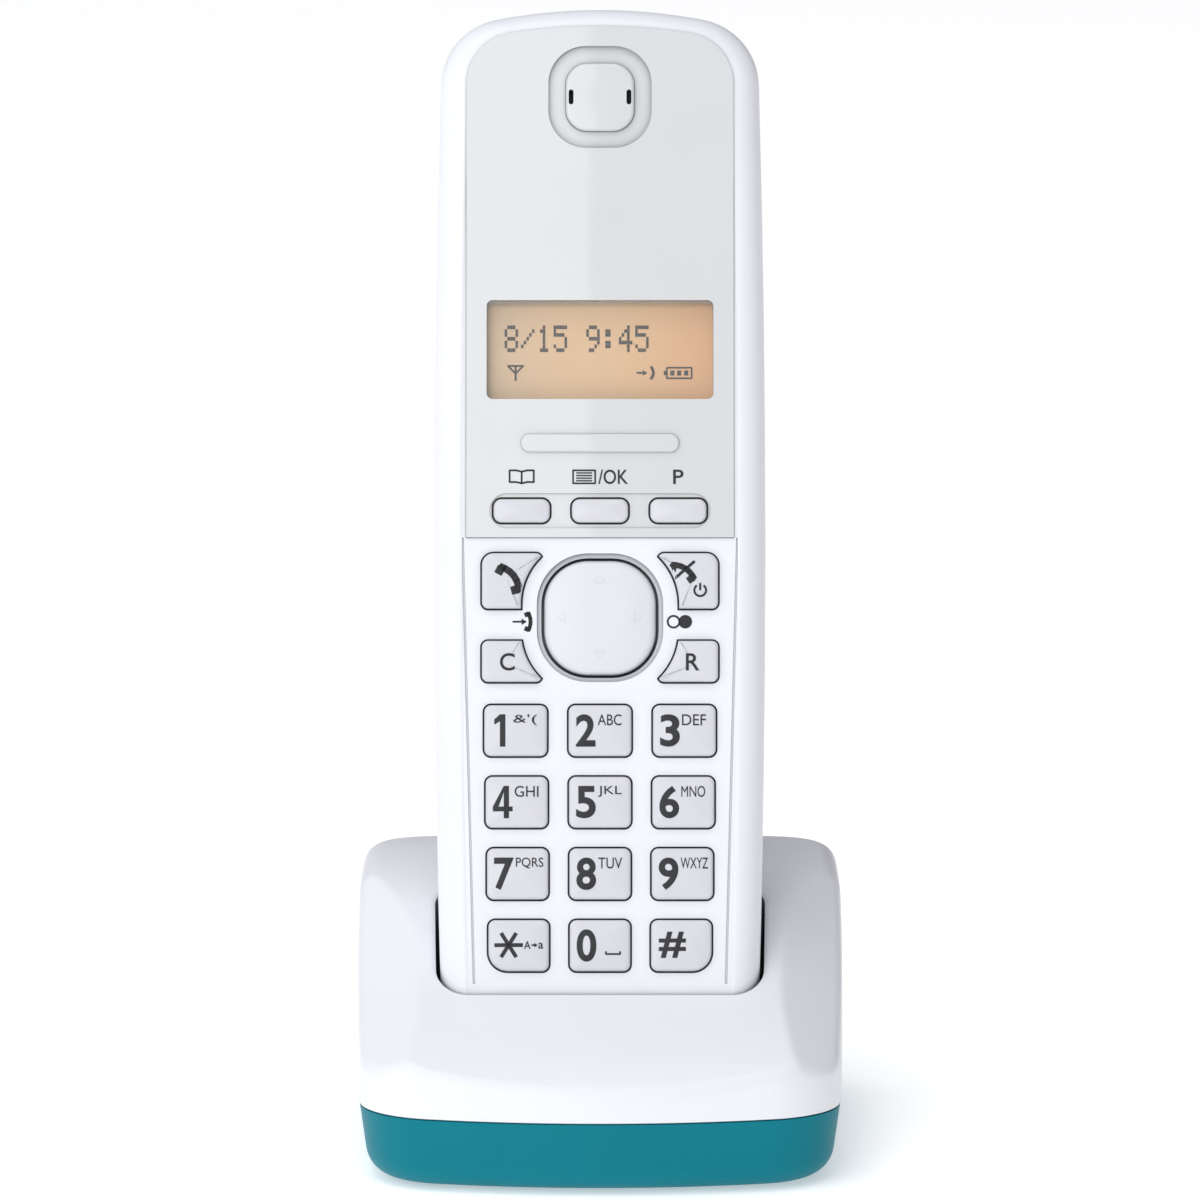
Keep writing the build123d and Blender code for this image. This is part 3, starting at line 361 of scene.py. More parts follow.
@dataclass(frozen=True)
class BacklitLcd:
    """Amber backlit display glass: paler on the left and deeper amber on the right, with a painted shadow from its
    frame along the top and the left.
    """

    name: str
    left: str = "#d4b794"
    middle: str = "#deb98c"
    right: str = "#dba876"
    glow: float = 0.03

    def build(self) -> bpy.types.Material:
        """Builds the material."""
        material, tree = new_material(self.name)
        place = add_node(tree, "ShaderNodeTexCoord")
        across = add_node(tree, "ShaderNodeSeparateXYZ", links={0: place.outputs["Generated"]})
        ramp = add_node(tree, "ShaderNodeValToRGB", links={"Fac": across.outputs["X"]})
        ramp.color_ramp.interpolation = "EASE"
        ramp.color_ramp.elements[0].color = linear(self.left)
        ramp.color_ramp.elements[1].color = linear(self.right)
        ramp.color_ramp.elements.new(0.45).color = linear(self.middle)
        # Painted shadow of the window's frame along the top and the left edges.
        frame_shadow = self.painted_frame_shadow(tree, across)
        cells = add_node(
            tree,
            "ShaderNodeTexNoise",
            values={"Scale": 3500.0, "Detail": 1.0},
            links={"Vector": place.outputs["Object"]},
        )
        speckle = add_node(
            tree,
            "ShaderNodeMapRange",
            values={"To Min": 0.96, "To Max": 1.04},
            links={"Value": cells.outputs["Fac"]},
        )
        shade = add_node(
            tree,
            "ShaderNodeMath",
            operation="MULTIPLY",
            links={0: speckle.outputs[0], 1: frame_shadow.outputs[0]},
        )
        tone = add_node(
            tree,
            "ShaderNodeVectorMath",
            operation="MULTIPLY",
            links={0: ramp.outputs["Color"], 1: shade.outputs[0]},
        )
        shader = add_node(
            tree,
            "ShaderNodeBsdfPrincipled",
            values={"Roughness": 0.35, "Emission Strength": self.glow},
            links={"Base Color": tone.outputs[0], "Emission Color": tone.outputs[0]},
        )
        finish_surface(tree, shader)
        return material


    def painted_frame_shadow(self, tree: bpy.types.NodeTree, across: bpy.types.Node) -> bpy.types.Node:
        """Paints the frame's shadow: darkens a narrow strip along the top and the left.

        Args:
            tree: Node tree of the material.
            across: Node that gives the place within the glass, from 0 to 1.

        Returns:
            Node whose output is 1 in the middle and less in the strips.
        """
        left = add_node(
            tree,
            "ShaderNodeMapRange",
            interpolation_type="SMOOTHSTEP",
            values={"From Min": 0.03, "From Max": 0.055, "To Min": 0.72, "To Max": 1.0},
            links={"Value": across.outputs["X"]},
        )
        top = add_node(
            tree,
            "ShaderNodeMapRange",
            interpolation_type="SMOOTHSTEP",
            values={"From Min": 0.88, "From Max": 0.94, "To Min": 1.0, "To Max": 0.7},
            links={"Value": across.outputs["Z"]},
        )
        return add_node(
            tree, "ShaderNodeMath", operation="MULTIPLY", links={0: left.outputs[0], 1: top.outputs[0]}
        )


@dataclass(frozen=True)
class CircuitBoard:
    """Fibreglass board under green solder mask, with the weave just showing."""

    name: str
    mask: str = "#1f5a3c"
    copper: str = "#2f7550"

    def build(self) -> bpy.types.Material:
        """Builds the material."""
        material, tree = new_material(self.name)
        place = add_node(tree, "ShaderNodeTexCoord").outputs["Object"]
        tracks = add_node(
            tree,
            "ShaderNodeTexBrick",
            values={
                "Scale": 180.0,
                "Mortar Size": 0.03,
                "Color1": linear(self.mask),
                "Color2": linear(self.mask),
                "Mortar": linear(self.copper),
            },
            links={"Vector": place},
        )
        weave = add_node(tree, "ShaderNodeTexNoise", values={"Scale": 2500.0}, links={"Vector": place})
        bump = add_node(
            tree,
            "ShaderNodeBump",
            values={"Strength": 0.5, "Distance": 0.02 * MM},
            links={"Height": weave.outputs["Fac"]},
        )
        shader = add_node(
            tree,
            "ShaderNodeBsdfPrincipled",
            values={"Roughness": 0.32},
            links={"Base Color": tracks.outputs["Color"], "Normal": bump.outputs["Normal"]},
        )
        finish_surface(tree, shader)
        return material


class Slot(Enum):
    """Material slots of the record."""

    SHELL = "white_abs"
    PANEL = "panel_gloss"
    TEAL = "teal_abs"
    KEY = "key_abs"
    NAVIGATOR = "nav_abs"
    KEY_INK = "key_ink"
    DISPLAY_INK = "display_ink"
    WINDOW = "window_clear"
    DISPLAY = "display_amber"
    GUIDE = "light_guide"
    SILICONE = "silicone_rubber"
    FOOT = "foot_rubber"
    BOARD = "circuit_board"
    TINNED = "tinned_steel"
    SCREW = "screw_steel"
    CONTACT = "contact_nickel"
    BLACK = "black_plastic"
    CELL = "cell_wrap"


# The hollow greys below are painted shade in gaps and moats.
FINISHES = {
    Slot.SHELL: MouldedPlastic(
        "white_abs_satin_mould", "#f2f3f7", "#eeeff4", 0.36, grain_depth_mm=0.003, hollow_shade_colour="#8f9699"
    ),
    Slot.PANEL: MouldedPlastic(
        "pearl_white_panel_polished_mould",
        "#d8dada",
        "#d4d6d7",
        0.3,
        0.02,
        0.3,
        0.0006,
        coat=1.0,
        coat_roughness=0.02,
        hollow_shade_colour="#8c9092",
    ),
    Slot.TEAL: MouldedPlastic("teal_abs_satin_mould", "#067f8d", "#047887", 0.45, grain_depth_mm=0.004, specular=0.12),
    Slot.KEY: MouldedPlastic(
        "grey_white_key_satin_mould", "#dcdce0", "#d7d8dd", 0.34, subsurface=0.05, hollow_shade_colour="#84878c"
    ),
    Slot.NAVIGATOR: MouldedPlastic(
        "pale_grey_navigator_satin_mould", "#e6e7eb", "#e0e1e6", 0.3, subsurface=0.05, hollow_shade_colour="#84878c"
    ),
    Slot.KEY_INK: MouldedPlastic("black_pad_printed_ink", "#15161a", "#1e1f24", 0.45, 0.08, 0.1, 0.004),
    Slot.DISPLAY_INK: MouldedPlastic("dark_lcd_segments", "#17110d", "#1d1612", 0.5, 0.05, 0.08, 0.001),
    Slot.WINDOW: ClearWindow("clear_acrylic_polished_window"),
    Slot.DISPLAY: BacklitLcd("amber_backlit_lcd_glass"),
    Slot.GUIDE: MouldedPlastic("milky_light_guide_polished_mould", "#e9e4d8", "#e2ddd0", 0.25, subsurface=0.2),
    Slot.SILICONE: MouldedPlastic("grey_silicone_moulded_mat", "#c9cbcd", "#bfc2c5", 0.6, 0.06, 0.25, 0.01),
    Slot.FOOT: MouldedPlastic("grey_rubber_moulded_foot", "#6d7276", "#5f6468", 0.75, 0.06, 0.3, 0.02),
    Slot.BOARD: CircuitBoard("green_mask_circuit_board"),
    Slot.TINNED: PlatedMetal("tinned_steel_rolled_sheet", "#c9cbcc", "#a9abad", 0.35),
    Slot.SCREW: PlatedMetal("zinc_plated_screw_steel", "#b9bcc0", "#8f9297", 0.3),
    Slot.CONTACT: PlatedMetal("nickel_plated_contact_strip", "#cfcac0", "#b2aca1", 0.22),
    Slot.BLACK: MouldedPlastic("black_abs_textured_mould", "#1b1c1f", "#232427", 0.5, 0.07, 0.3, 0.015),
    Slot.CELL: MouldedPlastic("green_shrink_wrapped_cell", "#3f8f6a", "#37825f", 0.3, 0.05, 0.4, 0.004),
}


@dataclass
class Paintshop:
    """Builds every finish once and hands it to CAD nodes and new pieces."""

    materials: dict[Slot, bpy.types.Material] = field(default_factory=dict)

    def material(self, slot: Slot) -> bpy.types.Material:
        """Gives the material of a slot, built at its first use."""
        if slot not in self.materials:
            self.materials[slot] = FINISHES[slot].build()
        return self.materials[slot]

    def dress_cad_nodes(self) -> None:
        """Gives every CAD node the finish of its record slot and even shading on its rounds."""
        for node in frame["nodes"].values():
            for holder in node.material_slots:
                holder.material = self.material(Slot(holder.material.name.split(".")[0]))
            self.even_shading(node)

    def even_shading(self, node: bpy.types.Object, sharp: float = 32.0) -> None:
        """Shades a CAD node smoothly over its long thin facets.

        Args:
            node: CAD node.
            sharp: Edges sharper than this many degrees stay crisp.
        """
        weld = node.modifiers.new("weld", "WELD")
        weld.merge_threshold = 0.0005 * MM
        crisp = node.modifiers.new("crisp_edges", "EDGE_SPLIT")
        crisp.split_angle = math.radians(sharp)
        flow = node.modifiers.new("even_rounds", "WEIGHTED_NORMAL")
        flow.mode = "CORNER_ANGLE"

    def dress(self, piece: bpy.types.Object, slot: Slot, body: str) -> None:
        """Gives a new piece its finish and the body that it rides on.

        Args:
            piece: New mesh object.
            slot: Record slot of its finish.
            body: CAD body that carries it.
        """
        piece.data.materials.append(self.material(slot))
        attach(piece, body)


@dataclass
class HandsetFrame:
    """The handset's own axes: x across, y depth behind its face, z from foot to head.

    They follow from the joint along which the handset lifts out of the base.
    """

    lean: float = 0.0
    foot: Vector = field(default_factory=lambda: Vector((0.0, 0.0, 0.0)))

    def measure(self) -> None:
        """Reads the lean from the lift joint and the origin from the front shell."""
        lift = next(j for j in frame["joints"] if j["name"] == "handset_lift")
        self.lean = math.atan2(lift["axis"][1], lift["axis"][2])
        low, _ = self.box("front_cover")
        self.foot = self.to_world(0.0, low.y, low.z)

    def to_world(self, x: float, y: float, z: float) -> Vector:
        """Turns a place in the handset's axes into the scene's axes."""
        sine, cosine = math.sin(self.lean), math.cos(self.lean)
        return self.foot + Vector((x, y * cosine + z * sine, z * cosine - y * sine))

    def to_local(self, place: Vector) -> Vector:
        """Turns a place in the scene into the handset's axes."""
        sine, cosine = math.sin(self.lean), math.cos(self.lean)
        moved = place - self.foot
        return Vector((moved.x, moved.y * cosine - moved.z * sine, moved.y * sine + moved.z * cosine))

    def box(self, node: str) -> tuple[Vector, Vector]:
        """Gives a CAD node's lowest and highest corners in the handset's axes.

        Args:
            node: Name of a CAD node.

        Returns:
            Lowest and highest corner, in metres.
        """
        places = [self.to_local(v.co) for v in frame["nodes"][node].data.vertices]
        low = Vector(min(p[i] for p in places) for i in range(3))
        high = Vector(max(p[i] for p in places) for i in range(3))
        return low, high

    def centre(self, node: str) -> Vector:
        """Gives the middle of a CAD node's box in the handset's axes."""
        low, high = self.box(node)
        return (low + high) / 2

    def surface(self, *pieces: bpy.types.Object) -> BVHTree:
        """Gives a search tree of pieces' faces in the handset's axes.

        Args:
            *pieces: Mesh objects.

        Returns:
            The tree.
        """
        places: list[Vector] = []
        faces: list[list[int]] = []
        for piece in pieces:
            start = len(places)
            places += [self.to_local(v.co) for v in piece.data.vertices]
            faces += [[start + i for i in p.vertices] for p in piece.data.polygons]
        return BVHTree.FromPolygons(places, faces)

    def outline(self, node: str, depth: float) -> Outline:
        """Cuts a CAD node at a depth behind the handset's face.

        Args:
            node: Name of a CAD node.
            depth: Depth of the cut, in metres.

        Returns:
            Points of the longest closed line of the cut, anticlockwise from the front.
        """
        solid = bmesh.new()
        solid.from_mesh(frame["nodes"][node].data)
        for vertex in solid.verts:
            vertex.co = self.to_local(vertex.co)
        bmesh.ops.remove_doubles(solid, verts=solid.verts, dist=0.001 * MM)
        whole = solid.verts[:] + solid.edges[:] + solid.faces[:]
        cut = bmesh.ops.bisect_plane(solid, geom=whole, plane_co=(0, depth, 0), plane_no=(0, 1, 0))
        edges = {e for e in cut["geom_cut"] if isinstance(e, bmesh.types.BMEdge)}
        loops: list[Outline] = []
        while edges:
            edge = edges.pop()
            start, here = edge.verts
            loop = [(start.co.x, start.co.z)]
            while here is not start:
                loop.append((here.co.x, here.co.z))
                step = next((e for e in here.link_edges if e in edges), None)
                if step is None:
                    break
                edges.discard(step)
                here = step.other_vert(here)
            loops.append(loop)
        solid.free()
        longest = max(loops, key=lambda line: sum(math.dist(a, b) for a, b in zip(line, line[1:])))
        return longest if signed_area(longest) > 0 else longest[::-1]


def signed_area(line: Outline) -> float:
    """Gives the area inside a closed line, positive when anticlockwise."""
    return sum(a[0] * b[1] - b[0] * a[1] for a, b in zip(line, line[1:] + line[:1])) / 2


def even_line(line: Outline, step: float) -> Outline:
    """Splits long runs of a closed line and drops points that nearly touch.

    Args:
        line: Closed line.
        step: Longest run that stays whole.

    Returns:
        The new line.
    """
    result: Outline = []
    for here, after in zip(line, line[1:] + line[:1]):
        length = math.dist(here, after)
        if length < 0.01 * MM:
            continue
        count = max(1, round(length / step))
        for i in range(count):
            share = i / count
            result.append((here[0] + (after[0] - here[0]) * share, here[1] + (after[1] - here[1]) * share))
    return result


def inset_line(line: Outline, amount: float) -> Outline:
    """Moves a closed anticlockwise line inwards, or outwards if negative.

    Args:
        line: Closed line.
        amount: Distance to move.

    Returns:
        The moved line, with as many points.
    """
    moved: Outline = []
    for before, here, after in zip(line[-1:] + line[:-1], line, line[1:] + line[:1]):
        first = Vector((here[0] - before[0], here[1] - before[1])).normalized()
        second = Vector((after[0] - here[0], after[1] - here[1])).normalized()
        along = (first + second).normalized()
        reach = amount / max(0.5, along.dot(second))
        moved.append((here[0] - along.y * reach, here[1] + along.x * reach))
    return moved


def even_loop(line: Outline, step: float, passes: int) -> Outline:
    """Lays evenly spaced points along a closed line and eases its small kinks without shrinking it.

    Args:
        line: Closed line.
        step: Distance between the new points.
        passes: How many times the kinks are eased.

    Returns:
        The new line.
    """
    lengths = [math.dist(a, b) for a, b in zip(line, line[1:] + line[:1])]
    count = round(sum(lengths) / step)
    result: Outline = []
    index, passed = 0, 0.0
    for i in range(count):
        target = sum(lengths) * i / count
        while passed + lengths[index] < target:
            passed += lengths[index]
            index += 1
        share = (target - passed) / max(lengths[index], 1e-9)
        here, after = line[index], line[(index + 1) % len(line)]
        result.append((here[0] + (after[0] - here[0]) * share, here[1] + (after[1] - here[1]) * share))
    for strength in (0.5, -0.52) * passes:
        around = zip(result[-1:] + result[:-1], result, result[1:] + result[:1])
        result = [
            (b[0] + strength * ((a[0] + c[0]) / 2 - b[0]), b[1] + strength * ((a[1] + c[1]) / 2 - b[1]))
            for a, b, c in around
        ]
    return result


def shrink_line(line: Outline, middle: Point, share: float) -> Outline:
    """Draws a closed line in towards its middle."""
    return [(middle[0] + (x - middle[0]) * share, middle[1] + (z - middle[1]) * share) for x, z in line]


def mesh_piece(name: str, places: Sequence[Vector], faces: Sequence[Sequence[int]]) -> bpy.types.Object:
    """Makes a mesh object in the scene.

    Args:
        name: Name of the piece.
        places: Vertices in metres.
        faces: Vertex numbers of each face.

    Returns:
        The object.
    """
    mesh = bpy.data.meshes.new(name)
    mesh.from_pydata([tuple(p) for p in places], [], [tuple(f) for f in faces])
    mesh.validate()
    piece = bpy.data.objects.new(name, mesh)
    bpy.context.scene.collection.objects.link(piece)
    return piece


def smooth(piece: bpy.types.Object, angle: float = 42.0) -> None:
    """Shades a piece smooth, with sharp edges above an angle in degrees."""
    piece.data.shade_smooth()
    piece.data.set_sharp_from_angle(angle=math.radians(angle))


@dataclass
class KeyCap:
    """A moulded key: rounded rim, gently domed face, and a flange behind the wall."""

    handset: HandsetFrame
    node: str
    cut_depth: float = 1.2 * MM
    edge: float = 0.55 * MM
    dome: float = 0.22 * MM
    flange_depth: float = 2.55 * MM
    dish: float = 0.0
    rounding_steps: int = 6
    dome_steps: int = 8

    def face_depth(self, share: float, front: float) -> float:
        """Gives the depth of the face at a share of the way out from its middle.

        Args:
            share: 0 in the middle, 1 at the rim.
            front: Depth of the highest point.

        Returns:
            Depth behind the handset's face.
        """
        hollow = self.dish * math.exp(-((share / 0.5) ** 2))
        return front + self.dome * share**2.2 + hollow

    def build(self) -> bpy.types.Object:
        """Builds the cap over the CAD key's own outline.

        Returns:
            The piece, in the scene's axes.
        """
        low, high = self.handset.box(self.node)
        line = even_line(self.handset.outline(self.node, self.cut_depth), 0.45 * MM)
        rings: list[tuple[Outline, float]] = []
        flange = inset_line(line, -0.8 * MM)
        rings.append((inset_line(line, 0.8 * MM), high.y))
        rings.append((flange, high.y))
        rings.append((flange, self.flange_depth))
        rings.append((line, self.flange_depth))
        rim = low.y + self.dome
        for i in range(self.rounding_steps + 1):
            turn = math.pi / 2 * i / self.rounding_steps
            inset = self.edge * (1 - math.cos(turn))
            rings.append((inset_line(line, inset), rim + self.edge * (1 - math.sin(turn))))
        top = inset_line(line, self.edge)
        middle = (sum(p[0] for p in top) / len(top), sum(p[1] for p in top) / len(top))
        for i in range(1, self.dome_steps):
            share = 1 - i / self.dome_steps
            rings.append((shrink_line(top, middle, share), self.face_depth(share, low.y)))
        places = [self.handset.to_world(x, depth, z) for ring, depth in rings for x, z in ring]
        count = len(line)
        faces: list[list[int]] = []
        for r in range(len(rings) - 1):
            for i in range(count):
                j = (i + 1) % count
                faces.append([r * count + i, r * count + j, (r + 1) * count + j, (r + 1) * count + i])
        places.append(self.handset.to_world(middle[0], self.face_depth(0.0, low.y), middle[1]))
        last = (len(rings) - 1) * count
        faces += [[last + i, last + (i + 1) % count, len(places) - 1] for i in range(count)]
        piece = mesh_piece(f"{self.node}_cap", places, faces)
        smooth(piece)
        return piece


@dataclass
class FrontRim:
    """Fine skin over the front shell's side wall and the long round that leads to its face."""

    handset: HandsetFrame
    shop: Paintshop
    node: str = "front_cover"
    wall_cut: float = 8.0 * MM
    seam: float = 12.7 * MM
    rounding: float = 4.0 * MM
    proud: float = 0.015 * MM
    step: float = 0.8 * MM
    rounding_steps: int = 14

    def rings(self) -> list[tuple[float, float]]:
        """Gives how far each ring lies inside the side wall, and its depth behind the face."""
        result = [(0.0, self.seam), (0.0, (self.seam + self.rounding) / 2), (0.0, self.rounding)]
        for i in range(1, self.rounding_steps + 1):
            turn = math.pi / 2 * i / self.rounding_steps
            result.append((self.rounding * (1 - math.cos(turn)), self.rounding * (1 - math.sin(turn))))
        return result

    def build(self) -> bpy.types.Object:
        """Builds the skin."""
        wall = even_loop(self.handset.outline(self.node, self.wall_cut), self.step, 12)
        places: list[Vector] = []
        for inset, depth in self.rings():
            line = inset_line(wall, inset - self.proud)
            places += [self.handset.to_world(x, depth - self.proud, z) for x, z in line]
        buried = inset_line(wall, self.rounding + 0.05 * MM)
        places += [self.handset.to_world(x, self.proud, z) for x, z in buried]
        around = len(wall)
        faces = [
            (r * around + i, r * around + (i + 1) % around, (r + 1) * around + (i + 1) % around, (r + 1) * around + i)
            for r in range(len(places) // around - 1)
            for i in range(around)
        ]
        piece = mesh_piece("front_shell_rim", places, faces)
        smooth(piece)
        self.shop.dress(piece, Slot.SHELL, "handset")
        LOG.info("front shell rim: %d faces", len(faces))
        return piece


@dataclass
class Artwork:
    """Flat shapes in millimetres, x to the right and z up, to be printed on a surface."""

    places: list[Point] = field(default_factory=list)
    faces: list[list[int]] = field(default_factory=list)

    def polygon(self, points: Iterable[Point]) -> "Artwork":
        """Adds one filled polygon."""
        start = len(self.places)
        self.places += list(points)
        self.faces.append(list(range(start, len(self.places))))
        return self

    def bar(self, x0: float, z0: float, x1: float, z1: float) -> "Artwork":
        """Adds an upright rectangle between two corners."""
        return self.polygon([(x0, z0), (x1, z0), (x1, z1), (x0, z1)])

    def stroke(self, points: Sequence[Point], width: float) -> "Artwork":
        """Adds a line of a given width through some points."""
        for start, end in zip(points, points[1:]):
            along = Vector((end[0] - start[0], end[1] - start[1])).normalized() * (width / 2)
            side = Vector((-along.y, along.x))
            corners = [(start, -1, 1), (start, -1, -1), (end, 1, -1), (end, 1, 1)]
            self.polygon(
                [(p[0] + along.x * a * 0.4 + side.x * s, p[1] + along.y * a * 0.4 + side.y * s) for p, a, s in corners]
            )
        return self

    def arc(self, centre: Point, radius: float, width: float, start: float, end: float) -> "Artwork":
        """Adds a curved line from one angle in degrees to another."""
        steps = max(6, int(abs(end - start) / 12))
        inner, outer = radius - width / 2, radius + width / 2
        for i in range(steps):
            a, b = (math.radians(start + (end - start) * k / steps) for k in (i, i + 1))
            self.polygon(
                (centre[0] + r * math.cos(t), centre[1] + r * math.sin(t))
                for r, t in ((inner, a), (outer, a), (outer, b), (inner, b))
            )
        return self

    def disc(self, centre: Point, radius: float) -> "Artwork":
        """Adds a filled circle."""
        turns = (2 * math.pi * i / 28 for i in range(28))
        return self.polygon((centre[0] + radius * math.cos(t), centre[1] + radius * math.sin(t)) for t in turns)

    def text(
        self, body: str, centre: Point, height: float, width: float, bold: float = 0.0, slant: float = 0.0
    ) -> "Artwork":
        """Adds lettering fitted to a height and width.

        Args:
            body: The characters.
            centre: Middle of the lettering.
            height: Height of the lettering.
            width: Width of the lettering.
            bold: How far each outline is grown, as a share of the type size.
            slant: Shear of the letters.

        Returns:
            This artwork.
        """
        curve = bpy.data.curves.new("lettering", "FONT")
        curve.body = body
        curve.offset = bold
        curve.shear = slant
        curve.resolution_u = 6
        holder = bpy.data.objects.new("lettering", curve)
        flat = bpy.data.meshes.new_from_object(holder)
        xs = [v.co.x for v in flat.vertices]
        ys = [v.co.y for v in flat.vertices]
        across = width / (max(xs) - min(xs))
        up = height / (max(ys) - min(ys))
        middle = ((max(xs) + min(xs)) / 2, (max(ys) + min(ys)) / 2)
        start = len(self.places)
        self.places += [
            (centre[0] + (v.co.x - middle[0]) * across, centre[1] + (v.co.y - middle[1]) * up) for v in flat.vertices
        ]
        self.faces += [[start + i for i in p.vertices] for p in flat.polygons]
        bpy.data.meshes.remove(flat)
        bpy.data.objects.remove(holder)
        bpy.data.curves.remove(curve)
        return self

    def turned(self, degrees: float, centre: Point = (0.0, 0.0)) -> "Artwork":
        """Turns what is drawn so far, and moves it so that its origin is at a point."""
        sine, cosine = math.sin(math.radians(degrees)), math.cos(math.radians(degrees))
        self.places = [(centre[0] + x * cosine - z * sine, centre[1] + x * sine + z * cosine) for x, z in self.places]
        return self

    def add(self, other: "Artwork") -> "Artwork":
        """Adds another artwork to this one."""
        start = len(self.places)
        self.places += other.places
        self.faces += [[start + i for i in f] for f in other.faces]
        return self


@dataclass
class PadPrinter:
    """Lays artwork on the handset as a thin film of ink."""

    handset: HandsetFrame
    shop: Paintshop
    film: float = 0.03 * MM
    tile: float = 0.45 * MM

    def cut_into_tiles(self, sheet: bmesh.types.BMesh) -> None:
        """Cuts flat artwork along a fine square grid, so that it can follow a curved surface."""
        for axis in (0, 2):
            ends = [v.co[axis] for v in sheet.verts]
            place = min(ends) + self.tile
            while place < max(ends):
                everything = sheet.verts[:] + sheet.edges[:] + sheet.faces[:]
                normal = Vector((1, 0, 0)) if axis == 0 else Vector((0, 0, 1))
                bmesh.ops.bisect_plane(sheet, geom=everything, dist=1e-7, plane_co=normal * place, plane_no=normal)
                place += self.tile

    def print_on(
        self,
        name: str,
        art: Artwork,
        centre: Vector,
        surface: BVHTree,
        slot: Slot,
        body: str,
    ) -> bpy.types.Object:
        """Presses artwork onto a surface.

        Args:
            name: Name of the printed piece.
            art: The artwork, about its own origin.
            centre: Where its origin goes, in the handset's axes.
            surface: What it is printed on.
            slot: Slot of the ink.
            body: Body that carries it.

        Returns:
            The printed piece.
        """
        sheet = bmesh.new()
        corners = [sheet.verts.new((centre.x + x * MM, 0.0, centre.z + z * MM)) for x, z in art.places]
        for face in art.faces:
            if len(set(face)) > 2:
                sheet.faces.new([corners[i] for i in face])
        bmesh.ops.triangulate(sheet, faces=sheet.faces)
        self.cut_into_tiles(sheet)
        bmesh.ops.triangulate(sheet, faces=sheet.faces)
        for vertex in sheet.verts:
            hit = surface.ray_cast(Vector((vertex.co.x, -20 * MM, vertex.co.z)), Vector((0, 1, 0)))
            depth = hit[0].y if hit[0] is not None else centre.y
            vertex.co = self.handset.to_world(vertex.co.x, depth - self.film, vertex.co.z)
        outward = self.handset.to_world(0, -1, 0) - self.handset.to_world(0, 0, 0)
        sheet.normal_update()
        bmesh.ops.reverse_faces(sheet, faces=[f for f in sheet.faces if f.normal.dot(outward) < 0])
        piece = mesh_piece(name, [], [])
        sheet.to_mesh(piece.data)
        sheet.free()
        self.shop.dress(piece, slot, body)
        return piece


def receiver(length: float, width: float, bend: float) -> Artwork:
    """Draws a telephone receiver: a bent grip with a pad at each end, arched upwards.

    Args:
        length: Length from end to end.
        width: Width of the grip.
        bend: How far the middle arches up.

    Returns:
        The drawing, about its middle.
    """
    art = Artwork()
    half = length / 2
    grip = [(half * t, bend * (1 - t * t)) for t in (-0.95, -0.7, -0.35, 0.0, 0.35, 0.7, 0.95)]
    art.stroke(grip, width)
    for side in (-1, 1):
        pad = [(-0.5, -0.62), (0.5, -0.62), (0.56, 0.3), (0.3, 0.62), (-0.3, 0.62), (-0.56, 0.3)]
        tilt = math.radians(-22 * side)
        art.polygon(
            (
                side * half * 0.8 + width * (x * math.cos(tilt) - z * math.sin(tilt)) * 1.15,
                -0.05 * length + width * (x * math.sin(tilt) + z * math.cos(tilt)) * 1.2,
            )
            for x, z in pad
        )
    return art


def power_mark(centre: Point, radius: float, width: float) -> Artwork:
    """Draws an open ring with a bar through its gap."""
    art = Artwork().arc(centre, radius, width, 125, 415)
    return art.bar(centre[0] - width / 2, centre[1], centre[0] + width / 2, centre[1] + radius * 1.25)


def arrow(start: Point, end: Point, width: float, head: float) -> Artwork:
    """Draws a level arrow that points to the right."""
    art = Artwork().bar(start[0], start[1] - width / 2, end[0] - head * 0.7, end[1] + width / 2)
    return art.polygon([(end[0] - head, end[1] - head * 0.62), end, (end[0] - head, end[1] + head * 0.62)])


def open_book(width: float, height: float, line: float) -> Artwork:
    """Draws an open book: two pages that meet at a spine."""
    half, top = width / 2, height / 2
    art = Artwork()
    art.stroke([(0, -top), (0, top * 0.8)], line)
    for side in (-1, 1):
        page = [(0, top * 0.8), (side * half * 0.45, top), (side * half, top), (side * half, -top * 0.8)]
        art.stroke(page + [(side * half * 0.45, -top * 0.8), (0, -top)], line)
    return art


def menu_card(width: float, height: float, line: float) -> Artwork:
    """Draws a framed card with four rules on it."""
    half, top = width / 2, height / 2
    art = Artwork().stroke([(-half, -top), (half, -top), (half, top), (-half, top), (-half, -top)], line)
    for i in range(4):
        z = top * (0.6 - 0.4 * i)
        art.bar(-half * 0.72, z - line * 0.4, half * 0.72, z + line * 0.4)
    return art


